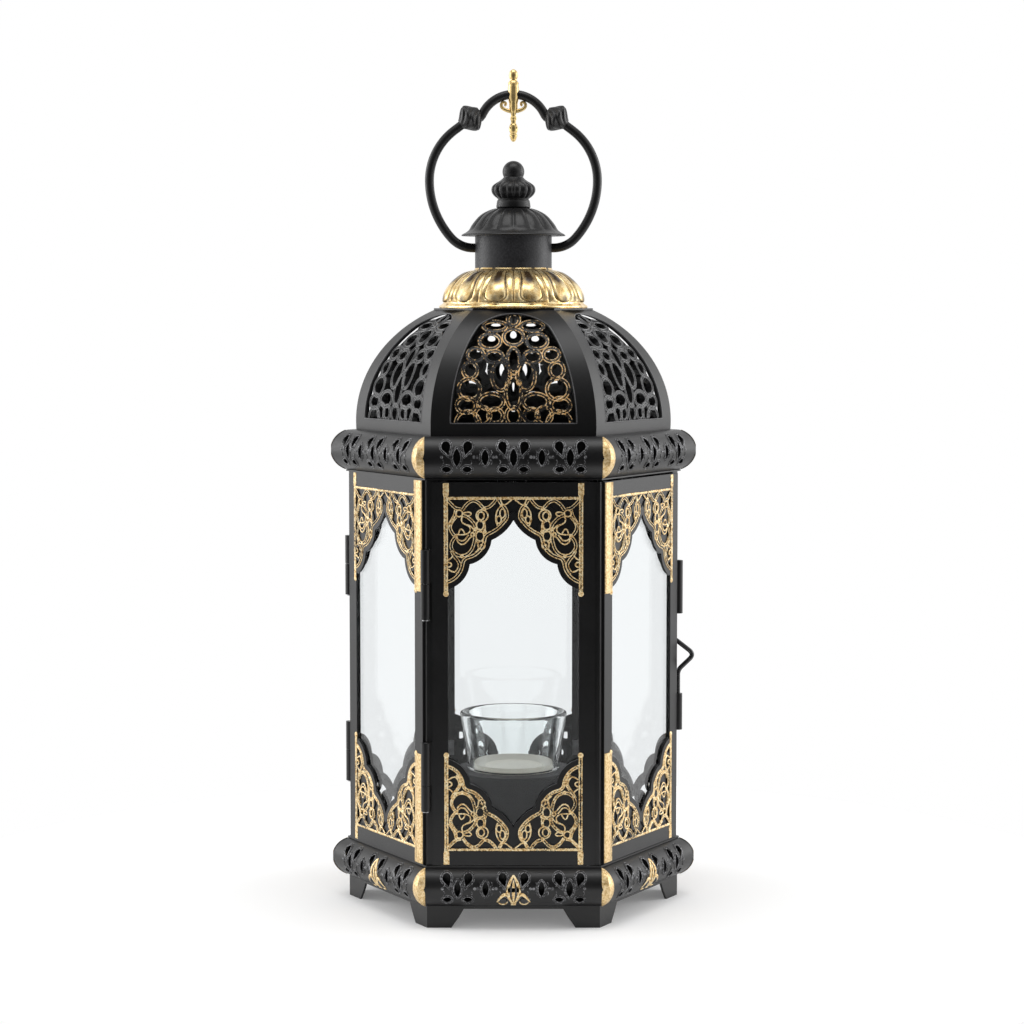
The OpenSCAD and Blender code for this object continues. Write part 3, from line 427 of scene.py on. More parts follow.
# Painted highlight: the lattice ridges get a lighter grey coat than the black, standing in for
# glints along them
COAT_RIDGE = powder_black("ridge_coat", base=(0.012, 0.012, 0.013), worn_and_shading=(0.05, 0.05, 0.053),
    rough=0.26, specular=0.75, grain=1300, relief=0.6)
GILT = rubbed_gold_and_shading("rubbed_gold_and_shading", cover=0.55, speckle=3.4, contrast=0.3, grain=1500)
# Where the collar's value is lowered its dark ground shows, which paints the petals' dark
# reflections as well as their dark grooves
GILT_COLLAR = rubbed_gold_and_shading("collar_gold", grain=900, rough=0.2, contrast=0.7, metallic=0.92,
    ground=(0.035, 0.02, 0.008), speckle=0.55, tone_scale=300,
    tones=((0.66, 0.43, 0.16), (0.88, 0.64, 0.3), (0.98, 0.8, 0.46)), relief=0.1)
GILT_LATTICE = rubbed_gold_and_shading("lattice_gold", cover=1.02, grain=620, rough=0.34, contrast=0.14,
    speckle=3.2, tone_scale=1500, tones=((0.55, 0.26, 0.06), (0.85, 0.53, 0.2), (1.0, 0.86, 0.62)))
GILT_PAINT = rubbed_gold_and_shading("gold_paint", cover=0.35, grain=1300, rough=0.36, relief=0.3, speckle=2.2,
    tones=((0.5, 0.32, 0.12), (0.76, 0.54, 0.26), (0.92, 0.73, 0.43)))
GILT_PATINA = rubbed_gold_and_shading("gold_patina", cover=0.46, grain=800, rough=0.34, contrast=0.3,
    ground=(0.06, 0.035, 0.012))
# Painted highlight: pale grey specks on the crests of the moulding rims stand in for glints of
# light along them
RIM_GREY = rubbed_gold_and_shading("rim_highlight", cover=0.62, speckle=3.0, contrast=0.3, grain=1300, rough=0.2,
    metallic=0.3, tones=((0.03, 0.03, 0.032), (0.11, 0.11, 0.115), (0.3, 0.3, 0.31)))
BRASS = plain_metal("brass", (0.96, 0.7, 0.3), 0.15, metallic=0.84, relief=0.1)
STEEL = plain_metal("zinc_steel", (0.42, 0.42, 0.43), 0.36)
PANE = glass("window_glass", (0.95, 0.966, 0.972))
CUP_GLASS = glass("cup_glass", (0.96, 0.985, 0.985), ior=1.42)

FIXINGS = ("stand_rivets", "fixed_clips", "door_clips", "corner_pins", "hinge_pins", "tie_stud",
           "stud_nut")
OWN_LOOK = dict.fromkeys(FIXINGS, STEEL)
OWN_LOOK.update(glass_cup=CUP_GLASS, candle_stand=COAT_STAND, neck_drum=COAT_GRAIN)
for node, obj in frame["nodes"].items():
    obj.data.materials.clear()
    obj.data.materials.append(OWN_LOOK.get(node, PANE if node.startswith("glass_") else COAT))

# ---- Openwork: gilt double lines on the strands of the panels ----

# Strands of a corner field, from the frame lines' corner: inwards, then down
RINGS = ((12.7, 4.7, 3.4), (4.2, 13.4, 3.3), (8.2, 23.1, 5.6), (8.4, 18.1, 3.2), (16.3, 7.7, 3),
    (17.2, 14.4, 2.5), (17.4, 22.2, 2.2), (4.1, 32.4, 3.7), (24.6, 6.9, 2.5), (27.3, 6.6, 2.5))
BARS = ((0, 0, 5.4, 5.4), (5.4, 5.4, 12.6, 0), (12.6, 0, 17.9, 4.8), (17.9, 4.8, 23.6, 0),
    (23.6, 0, 26.3, 3.9), (26.3, 3.9, 32, 0), (5.4, 5.4, 0, 13.2), (0, 13.2, 4.3, 18.8),
    (4.3, 18.8, 0.4, 24), (0.4, 24, 4.4, 29), (14.5, 16, 6.6, 9.2), (14.5, 16, 11.2, 7.4),
    (14.5, 16, 15.8, 10.4), (14.5, 16, 17.6, 20.2))
KNOTS = ((5.4, 5.4), (14.5, 16))
# Curves through points of (inwards, down) on the sunk grounds: double strands and fine lines
DOUBLE = ((0.9, 1, 2.8, 3, 4.8, 4.7, 7, 5.2), (7.9, 5.6, 9.6, 3.2, 11.6, 1.6, 13.4, 1.2, 15.4, 2.1,
    17.1, 3.9, 18.4, 5.1), (18.4, 4.8, 20.6, 4.1, 22.5, 2.4, 23.9, 0.5), (1.2, 13.2, 2.9, 10.4,
    4.2, 8, 4.8, 5.4), (4.8, 8.9, 2.9, 11.2, 2, 13.8, 2.9, 16.3, 4.6, 18.3), (4.7, 18.2, 3, 20.6,
    2.5, 23.2, 3.7, 25.7, 5.7, 27.2, 8.2, 27.4, 10.6, 26.4, 12.4, 24.2, 13.3, 21.6, 13.8, 19, 13.6,
    16.6, 14, 14.2), (8.2, 8.2, 10.2, 8.9, 12, 10.4, 13.6, 12.4, 14.2, 14.4), (14, 14.6, 16, 15.4,
    18.6, 15.8), (28.1, 11.1, 29.1, 9.2, 29, 6.6, 28.1, 4.6, 26.6, 3.1, 25.2, 0.8), (4.4, 35.9,
    5.9, 34, 6.5, 31.6, 5.4, 29.4, 3.8, 27.4, 2.6, 25))
SINGLE = ((5, 17.3, 7.8, 17.4, 10.2, 16.9, 11.5, 15.6, 11.3, 13.7, 9.6, 12.6, 7.9, 11.6, 7.4, 10,
    8, 8.4), (5.4, 18.2, 5.4, 20.2, 6.5, 21.6, 8, 22, 9.6, 21.1, 10.8, 19.6, 12, 18.4, 12.8, 18.2),
    (5.6, 19.3, 6.8, 20.2, 8.6, 20.1, 9.8, 18.8, 10.9, 17.4), (6, 17, 6.5, 15.4, 7.3, 14.7, 8.3,
    15.5, 9, 16.9), (8.2, 7.2, 9.6, 6.7, 11.2, 6.7, 12, 7.4, 11.3, 8.2, 10, 8.5), (9.8, 12.6, 11.6,
    13.2, 13.2, 14.8), (13.8, 26, 15.3, 24.6, 15.6, 22.6, 14.4, 20.2), (24.6, 13, 23.8, 10.4, 24,
    7.2, 25.1, 4.8, 26.3, 3.6), (26, 0.9, 27, 2.9, 28.5, 2.9, 30, 1.7, 31.4, 0.8), (1.1, 33.9, 2.6,
    34.9, 4.4, 35.3), (1.1, 32.9, 2.4, 32.4, 2.5, 31.2, 1.1, 30.4), (1.1, 29.5, 2.6, 28.4, 3.4,
    27.2), (18.3, 11.2, 18.7, 13.4, 18.6, 15.6))
# Ovals (middle, half width, half height) and dots (middle, radius) beside them
OVALS = ((6.3, 7.2, 1.7, 1.6), (12.8, 17.3, 0.9, 0.9), (16.9, 22.3, 1.7, 2), (16.2, 18, 1.9, 2.4),
    (16.3, 12.9, 1.7, 2.2), (17.2, 8.3, 2.8, 2.8), (16.7, 8.4, 1.5, 1.9), (26.9, 7.2, 1.2, 2.1),
    (25.2, 10.2, 1.2, 1.7))
DOTS = ((14, 14.7, 1.1), (18.5, 16, 0.9), (18.2, 5, 0.9), (4.7, 18, 0.9), (7.6, 27.7, 0.9),
    (26.6, 3.3, 0.8), (16.9, 22.3, 0.6))
LINE = 1.9
DROP = 7.6
BORDER = 2.4
OPENING_W = 62.4
ARCH_RISE, CROWN_DROP, SILL_RISE = 33, 18, 18.4
ARCH_STEPS = (0, 0.29, 0.64, 1)
ARCH_SWELLS = (0, 1.2, 2.5, 2.5)
GROUND = 0.6
CORNER_X = OPENING_W / 2 + LINE / 2
UPRIGHT_TOP = 45.7
STRIP_END = 38.75
STRAND = profile((-0.84, -0.02, 0.45), (-0.76, 0.14, 0.85), (-0.6, 0.26, 1), (-0.42, 0.15, 0.75),
                 (-0.28, 0.03, 0.05))
DEEP = STRAND.copy()
DEEP[[0, -1], 1] -= GROUND
# Strands of the top fields and of the brighter bottom ones, on the face and on its sunk ground
STRANDS = {True: (STRAND, DEEP),
           False: [np.maximum(rows, (-1, -1, 0.6)) for rows in (STRAND, DEEP)]}
FINE = profile((-0.42, -GROUND - 0.02, 0.2), (-0.36, -0.05, 0.75), (-0.16, 0.2, 1))
FRAME_LINE = profile((-0.72, 0, 0.2), (-0.55, 0.16, 0.6), (-0.2, 0.24, 0.85))
UPRIGHT = profile((-1, 0, 0.45), (-0.85, 0.2, 0.85), (-0.55, 0.3, 1), (-0.2, 0.12, 0))
WEB = ((-2.1, -0.8), (-2.1, -0.5), (2.1, -0.5), (2.1, -0.8), (-2.1, -0.8))


def opening_edge(height):
    """Right half of an opening's edge from top to bottom: points and normals away from it."""
    w = OPENING_W / 6
    chain = [(i * w, height - CROWN_DROP - ARCH_STEPS[i] * ARCH_RISE, ARCH_SWELLS[i])
             for i in range(4)]
    chain += [(i * w, SILL_RISE + ARCH_STEPS[i] * ARCH_RISE, 0 if i == 3 else ARCH_SWELLS[i + 1])
              for i in range(3, -1, -1)]
    points, normals = [np.array([0.0, chain[0][1]])], [np.array([0.0, 1.0])]
    for before, bend in zip(chain[:-1], chain[1:]):
        a, b, swell = np.array(before[:2]), np.array(bend[:2]), bend[2]
        chord = np.linalg.norm(b - a)
        along = (b - a) / chord
        left = np.array([-along[1], along[0]])
        if swell:
            r = chord * chord / (8 * swell) + swell / 2
            centre = (a + b) / 2 + (r - swell) * left
            half = math.asin(chord / 2 / r)
            t = np.linspace(-half, half, 22)[:, None]
            p = centre + r * (np.sin(t) * along - np.cos(t) * left)
            n = (centre - p) / r
        else:
            p, n = np.stack([a, b]), np.stack([left, left])
        # The normal turns about each corner of the edge
        for s in np.linspace(0.15, 0.85, 5):
            mid = normals[-1] * (1 - s) + n[0] * s
            points.append(p[0])
            normals.append(mid / np.linalg.norm(mid))
        points += list(p)
        normals += list(n)
    return np.array(points), np.array(normals)


def on_front(x, z, out=0.0):
    """Points on the front panel's outer face, or behind it."""
    x, z = np.broadcast_arrays(np.asarray(x, float), z)
    return np.column_stack([x, np.full(x.shape, out - APOTHEM), z])


def corner_fields(node):
    """Whether each corner field is a top one, and how (inwards, down) lies on the face."""
    for end, down in ((high(node).z - DROP, -1), (low(node).z + DROP, 1)):
        for side in (-1, 1):
            yield down < 0, lambda u, v, out=0.0: on_front(side * (CORNER_X - u),
                                                           end + down * v, out)


def bar_points(bar, count):
    return np.linspace(bar[:2], bar[2:], count).T


def contours(node, inner, outer, step):
    """Lines beside the opening on both halves, where x lies between two bounds."""
    p, n = opening_edge(high(node).z - low(node).z)
    path = p + n * (BORDER + LINE / 2)
    for run in runs((path[:, 0] > inner) & (path[:, 0] < outer)):
        x, z = resample(path[run], step).T
        for side in (-1, 1):
            yield on_front(side * x, low(node).z + z)


def upright_line(build, place):
    """Grooved line past both ends of a field, wider beyond the frame line, with a round end."""
    v = np.linspace(-DROP + 0.4, UPRIGHT_TOP - 0.1, 60)
    wide = 1 + 0.42 * (1 - smooth_step(v, -1.8, -0.4))
    x, out, worn_and_shading = UPRIGHT.T
    points = place(0 * v, v)[:, None] + np.stack(
        [x * wide[:, None], np.tile(-out, (len(v), 1)), np.zeros((len(v), len(x)))], -1)
    wear_and_shading = np.tile(worn_and_shading, (len(v), 1))
    wear_and_shading[:, 3:5] = np.where(v < -0.8, 0.85, 0.5)[:, None]
    build.add(points, grid_faces(len(v), len(x)), wear_and_shading)
    stud(build, place(0, UPRIGHT_TOP)[0], FRONT, 1.35, 0.45)


def panel_openwork(node, face):
    """Gilt lines of a panel's corner fields: free lines on the sunk panels, rings on others."""
    build = Build()
    for top, place in corner_fields(node):
        strand, deep = STRANDS[top]
        if face in SUNK:
            for curves, rows in ((DOUBLE, deep), (SINGLE, FINE)):
                for points in curves:
                    sweep(build, place(*flowing(points).T), FRONT, rows)
            for oval in OVALS:
                sweep(build, place(*ellipse(*oval, 30).T), FRONT, FINE, True)
            for u, v, r in DOTS:
                stud(build, place(u, v)[0], FRONT, r, 0.35)
        else:
            for u, v, r in RINGS:
                sweep(build, place(*ellipse(u, v, r, r, 34).T), FRONT, strand, True)
            for bar in BARS:
                sweep(build, place(*bar_points(bar, 8)), FRONT, strand)
            for u, v in KNOTS:
                stud(build, place(u, v)[0], FRONT, 1.0, 0.3)
        t = np.linspace(0, 1, 30)
        sweep(build, place(CORNER_X * t, 0 * t), FRONT, FRAME_LINE)
        upright_line(build, place)
    middle = (low(node).z + high(node).z) / 2
    for line in contours(node, 3.4, CORNER_X, 0.7):
        sweep(build, line, FRONT, STRANDS[bool(line[0, 2] > middle)][0])
    return build


def panel_webs(node):
    """Webs inside a pierced sheet that leave only small holes."""
    build = Build()
    for _, place in corner_fields(node):
        for u, v, r in RINGS:
            build.add([place(*ellipse(u, v, q, q, 28).T, y) for q, y in
                       ((0.5 * r, 0.5), (r + 1.3, 0.5), (r + 1.3, 0.8), (0.5 * r, 0.8))],
                      grid_faces(4, 28, True, True))
        for bar in BARS:
            sweep(build, place(*bar_points(bar, 5)), FRONT, WEB)
        sweep(build, place(CORNER_X * np.linspace(0, 1, 12), 1.2), FRONT, WEB)
        sweep(build, place(1.2, np.linspace(0, 38, 24)), FRONT, WEB)
    for line in contours(node, 2.2, CORNER_X - 1, 1.2):
        sweep(build, line, FRONT, WEB)
    return build


def gold_strip(node, side):
    """Wide strips of plain gold on the end of a side panel that meets the front."""
    build = Build()
    inner, outer = OPENING_W / 2 + 0.3, STRIP_END
    half = (outer - inner) / 2
    rows = profile((-half, -0.02, 1), (0.15 - half, 0.3, 1), (-half * 0.4, 0.36, 1))
    top, foot, length = high(node).z, low(node).z, DROP + UPRIGHT_TOP + 0.3
    for a, b in ((top - 0.4, top - length), (foot + length, foot + 0.4)):
        sweep(build, on_front(side * (inner + half), np.linspace(a, b, 60)), FRONT, rows)
    return build


for k, face in enumerate(FACES):
    sheet = "door_side" if BODY[face] == "door" else "panel_left"
    panel_openwork(sheet, face).turned(k).piece("openwork_" + face, GILT, "antique_gold",
                                                BODY[face])
for node, name, side, k, body in (("door_side", "right", -1, 1, "door"),
                                  ("panel_left", "left", 1, 5, "lantern")):
    gold_strip(node, side).turned(k).piece("gold_strips_" + name, GILT_PAINT, "antique_gold", body)

# ---- Mouldings: rims of the piercings, mitre bands and lotus ----

OUT = -low("lower_moulding").y - BAND
PITCH = 26.8


def roll(node):
    """Height of a half-round moulding, and how (x, height over its foot) lies on it."""
    foot, h = low(node).z, high(node).z - low(node).z
    r = (h ** 2 / 4 + OUT ** 2) / (2 * OUT)
    centre = (BAND + OUT - r, foot + h / 2)
    return h, lambda x, t, lift=0.0: on_arc(x, foot + t, centre, r, lift)


def lens_path(w, h, grow=0.0):
    """Pointed oval of a width and height."""
    w, h = w + 2 * grow, h + 2 * grow
    big, small = max(w, h), min(w, h)
    r = (w * w + h * h) / (4 * small)
    t = np.linspace(-big / 2, big / 2, 12)
    s = np.sqrt(np.maximum(r * r - t * t, 0)) - (r - small / 2)
    long_way = np.concatenate([t, t[::-1][1:-1]])
    across = np.concatenate([-s, s[1:-1]])
    return np.column_stack([-across, long_way] if h > w else [long_way, across])


def bud_path(r, drop, lean, grow=0.0):
    """Drop with a round head, leaning by an angle."""
    a = np.radians(np.linspace(-24, 204, 20))
    x = np.append((r + grow) * np.cos(a), 0)
    z = np.append((r + grow) * np.sin(a), -drop - 1.6 * grow)
    c, s = math.cos(math.radians(lean)), math.sin(math.radians(lean))
    return np.column_stack([x * c - z * s, x * s + z * c])


def piercing_paths(h, grow):
    """Outlines of one segment's piercings, grown by a margin."""
    for i in (-1, 0, 1):
        yield lens_path(0.17 * h, 0.42 * h, grow) + (i * PITCH, 0.52 * h)
        for s in (-1, 1):
            bud = bud_path(0.105 * h, 0.22 * h, -18, grow) + (5.2, 0.78 * h)
            lens = lens_path(0.22 * h, 0.13 * h, grow) + (4.9, 0.24 * h)
            for path in (bud, lens):
                yield (path * (s, 1))[::s] + (i * PITCH, 0)
    for s in (-1, 1):
        yield lens_path(0.16 * h, 0.38 * h, grow) + (s * PITCH / 2, 0.52 * h)


# The rims' crests get the full value, which puts their painted highlight there
RIM = profile((-0.38, -0.05, 0.1), (-0.26, 0.2, 0.55), (0, 0.34, 1))
FINE_RIM = RIM * (0.62, 0.75, 1)
# Beads at mid height and small scrolls between the groups of piercings
BEADS_X = (-34, -18.6, -17.2, -9.6, -8.2, -4.4, 4.4, 8.2, 9.6, 17.2, 18.6, 34)
SCROLLS_X = (-16.2, -10.6, -6.6, 6.6, 10.6, 16.2, -33.4, 33.4, -20.2, 20.2)


def moulding_rims(node):
    (h, at), build = roll(node), Build()
    for grow, rows in ((0.3, RIM), (1.05, FINE_RIM)):
        for path in piercing_paths(h, grow):
            sweep(build, *at(*resample(path, 0.75, True).T), rows, True)
    for x in BEADS_X:
        stud(build, *at(x, 0.53 * h), 0.75, 0.5, 12)
    for x in SCROLLS_X:
        for t0, t1 in ((0.36, 0.47), (0.58, 0.69)):
            sway = 0.5 * np.sin(np.linspace(0, math.pi, 6))
            sweep(build, *at(x + sway, np.linspace(t0, t1, 6) * h), FINE_RIM)
    return build


BULB_X, BULB_T = 5.1, 0.21     # middle of a bulb: x and share of the moulding's height
BAND_LIFTS = (0.28, 0.32, 0.34, 0.34, 0.32, 0.26, -0.05)
BAND_WEAR = (0.9, 1, 1, 1, 1, 1, 0.75)


def mitre_band(node, side, width=5.2):
    """Crescent of gold on one end of a segment, from the mitre inwards.

    With no width the crescent ends on an upright plane through the mitre's foot."""
    (h, at), build = roll(node), Build()
    t = np.linspace(0.02, 0.98, 40) * h
    if width:
        reach = width * np.sqrt(np.clip(1 - ((t / h - 0.5) / 0.485) ** 2, 0, 1))
    else:
        depth = -at(0 * t, t)[0][:, 1]
        reach = (depth - depth[0]) * TAN30
    columns = []
    for share, lift in zip(np.linspace(0, 1, len(BAND_LIFTS)), BAND_LIFTS):
        points, _ = at(0 * t, t, lift)
        points[:, 0] = side * (-points[:, 1] * TAN30 - 0.02 - share * reach)
        columns.append(points)
    build.add(np.stack(columns, 1), grid_faces(len(t), len(BAND_LIFTS)),
              np.tile(BAND_WEAR, len(t)))
    return build


def leaf_rib(build, points, normals, radius):
    """Tapered rib along a line on a moulding."""
    side = np.cross(normals, unit(np.gradient(points, axis=0)))
    skin(build, points, radius, 10, side, 0.7 * normals)


def lotus(node):
    """Central leaf between two outward petals over dark bulbs."""
    (h, at), gold, dark = roll(node), Build(), Build()
    t = np.linspace(0, 1, 26)
    hump = np.sin(math.pi * t)
    leaf = 2.7 * np.sin(math.pi * t ** 0.9) ** 0.85

    def rib(x, height, radius):
        leaf_rib(gold, *at(x, height, 0.1), radius)

    for s in (-1, 1):
        rib(s * leaf, (0.12 + 0.72 * t) * h, 0.5 + 0.35 * hump)
        # Petal over a dark bulb, and the bulb's gilt under edge
        rise = (0.1 + 0.25 * np.sin(math.pi * t ** 0.75) + 0.07 * t) * h
        rib(s * (0.9 + 7.0 * t), rise, 0.3 + 0.55 * hump ** 0.8)
        a = np.radians(np.linspace(200, 350, 16))
        rib(s * (BULB_X - 2.3 * np.cos(a)), BULB_T * h + 2.2 * np.sin(a),
            0.2 + 0.32 * np.sin(math.pi * np.linspace(0, 1, 16)))
        stud(dark, *at(s * BULB_X, BULB_T * h), 1.9, 0.9)
    # Mid rib, foot, and the dark hollow inside the leaf
    rib(0 * t, (0.16 + 0.58 * t) * h, 0.15 + 0.6 * hump ** 0.7)
    rib(np.linspace(-1.2, 1.2, 8), 0.09 * h, np.full(8, 0.6))
    dark.add(at(np.linspace(-0.95, 0.95, 9) * leaf[:, None], ((0.13 + 0.7 * t) * h)[:, None],
                0.08)[0], grid_faces(26, 9))
    return gold, dark


ALL = range(6)
for level in ("upper", "lower"):
    node = level + "_moulding"
    moulding_rims(node).turned(*ALL).piece(node + "_rims", RIM_GREY)
    # The bands lie behind each mitre as seen from the front
    bands = Build()
    for k, side in ((1, -1), (2, -1), (3, -1), (5, 1), (4, 1), (3, 1)):
        bands.parts += mitre_band(node, side).turned(k).parts
    for side in (-1, 1):
        bands.parts += mitre_band(node, side, 0).parts
    bands.piece(level + "_mitre_bands", GILT_PAINT, "antique_gold")
gold, dark = lotus("lower_moulding")
gold.turned(*ALL).piece("lotus_leaves", GILT_PATINA, "antique_gold")
dark.turned(*ALL).piece("lotus_hollows", COAT_GLOSS)

# ---- Dome: edges of the windows, beaded gold edges of the front lattice ----

DOME_INSET, CROWN_A, GORE_R, GORE_T = 3.85, 34.4, 62.17, 1.2
GORE_RIM, GORE_SILL, HEAD_DROP, SHOULDER = 9.3, 6, 1.6, 5.8
LATTICE_STRAND = 1.9
DOME_Z, CROWN_Z = low("gore_front").z, high("gore_front").z
SILL_Z, HEAD_Z = DOME_Z + GORE_SILL, CROWN_Z - HEAD_DROP
foot, head = np.array([BAND - DOME_INSET, DOME_Z]), np.array([CROWN_A, CROWN_Z])
chord = head - foot
reach = math.sqrt(GORE_R ** 2 - chord @ chord / 4)
GORE_C = (foot + head) / 2 + np.array([-chord[1], chord[0]]) / np.linalg.norm(chord) * reach


def window_half(z):
    """Half width of a gore's window at a height."""
    wide = (GORE_C[0] + np.sqrt(GORE_R ** 2 - (z - GORE_C[1]) ** 2)) * TAN30 - GORE_RIM
    shoulder_a = GORE_C[0] + math.sqrt(GORE_R ** 2 - (HEAD_Z - SHOULDER - GORE_C[1]) ** 2)
    half = shoulder_a * TAN30 - GORE_RIM
    r = (half * half + SHOULDER * SHOULDER) / (2 * SHOULDER)
    arch = np.sqrt(np.maximum(r * r - (z - (HEAD_Z - r)) ** 2, 0))
    return np.where(z > HEAD_Z - SHOULDER, np.minimum(wide, arch), wide)


WINDOW_EDGE = ((-0.28, -0.02), (-0.16, 0.12), (0.12, 0.14), (0.26, 0.02), (0.26, -0.5))


def window_edge():
    build = Build()
    z = np.concatenate([np.linspace(SILL_Z, HEAD_Z - SHOULDER, 40),
                        HEAD_Z - SHOULDER * (1 - np.sin(np.linspace(0.04, math.pi / 2, 24)))])
    x = window_half(z)
    line = np.column_stack([np.concatenate([x, -x[::-1]]), np.concatenate([z, z[::-1]])])
    sweep(build, *on_arc(*resample(line, 1.2, True).T, GORE_C, GORE_R), WINDOW_EDGE, True)
    return build


# Loops of the lattice: middle above the sill, half width and half height
CENTRE_LOOPS = ((0, 49, 3.8, 3.8), (0, 40.8, 5.8, 4.9), (0, 29.8, 4, 6.8), (0, 14.6, 4.7, 8.8),
    (0, 3.6, 4.5, 5.2))
SIDE_LOOPS = ((9, 45.9, 6.6, 3.3), (11.3, 38.8, 6.1, 4.6), (18.2, 32.4, 4.9, 4.1),
    (9.2, 31.4, 5.2, 3.9), (20.7, 25.2, 4.4, 4.8), (6, 22.4, 5.3, 7.8), (21.1, 16.2, 6.2, 6),
    (10.6, 10.2, 6.9, 4.9), (22.6, 8.6, 5.6, 4.6), (21.8, -0.6, 6.9, 7.4), (14.6, 3.8, 4.7, 5),
    (8.6, 3.6, 4.5, 4.4))
LOOPS = CENTRE_LOOPS + tuple((s * x, z, w, h) for s in (-1, 1) for x, z, w, h in SIDE_LOOPS)
LATTICE_R = GORE_R - GORE_T - 0.05
RIDGE = profile((-0.42, -0.05, 1), (-0.28, 0.22, 1), (0, 0.34, 1))
WEB_LINE = ((-2.4, -0.2), (-2.4, 0), (4.1, 0), (4.1, -0.2), (-2.4, -0.2))
BORDER_WEB = ((-3.4, 0), (3.4, 0))
BEAD_STEP, BEAD_PITCH = 0.17, 0.95


def closed_runs(line, step, beyond, border):
    """A loop's runs inside the window, or up to a margin beyond its ends and border."""
    line = resample(line, step, True)
    line = np.concatenate([line, line[:1]])
    keep = (line[:, 1] > SILL_Z - beyond) & (line[:, 1] < HEAD_Z + beyond)
    keep &= np.abs(line[:, 0]) < window_half(np.clip(line[:, 1], SILL_Z, HEAD_Z)) + border
    for run in runs(keep):
        yield line[run]


def lattice_lines(inset, step):
    """Lines along both edges of the lattice's loops, inside the window."""
    for x, z, w, h in LOOPS:
        for edge in (inset, LATTICE_STRAND - inset):
            loop = ellipse(x, SILL_Z + z, (w - edge) * 0.985, (h - edge) * 0.985, 72)
            yield from closed_runs(loop, step, -0.5, -0.5)


def lattice_gold():
    """Beaded gold edges of the front lattice."""
    build = Build()
    rng = np.random.default_rng(7)
    for line in lattice_lines(0.3, BEAD_STEP):
        points, _ = on_arc(*line.T, GORE_C, LATTICE_R, 0.02)
        s = np.arange(len(line)) * BEAD_STEP / BEAD_PITCH
        beads = int(s[-1]) + 3
        size = np.interp(s + 0.5, np.arange(beads), rng.uniform(0.7, 1.25, beads))
        tube(build, points, (0.17 + 0.17 * np.cos(2 * math.pi * s) ** 2) * size, 6,
             (0, -1, 0.3))
    return build


def lattice_ridges():
    """Fine ridges along the edges of the plain lattices."""
    build = Build()
    for line in lattice_lines(0.35, 0.7):
        sweep(build, *on_arc(*line.T, GORE_C, LATTICE_R), RIDGE)
    return build


def lattice_webs():
    """Wide webs on the inner side of a lattice that leave only small holes."""
    build = Build()
    inside = LATTICE_R - 2.2
    for x, z, w, h in LOOPS:
        for line in closed_runs(ellipse(x, SILL_Z + z, w, h, 40), 0.9, 1, 1.2):
            sweep(build, *on_arc(*line.T, GORE_C, inside), WEB_LINE)
    # A band along the window's border
    z = np.linspace(SILL_Z, HEAD_Z - 0.8, 40)
    for s in (-1, 1):
        sweep(build, *on_arc(s * (window_half(z) - 1.2), z, GORE_C, inside), BORDER_WEB)
    return build


window_edge().turned(*ALL).piece("window_edges", EDGE_GREY)
lattice_gold().piece("lattice_beading", GILT_LATTICE, "gilded_black")
lattice_ridges().turned(*ALL[1:]).piece("lattice_ridges", COAT_RIDGE)
panel_webs("panel_left").turned(*REAR).piece("rear_panel_webs", COAT_INNER)
lattice_webs().turned(*REAR).piece("rear_lattice_webs", COAT)

# ---- Collar ----

PETALS = 12
HEAD_S, HEEL_S = 0.17, 0.975     # a petal's ends, as shares of the way down


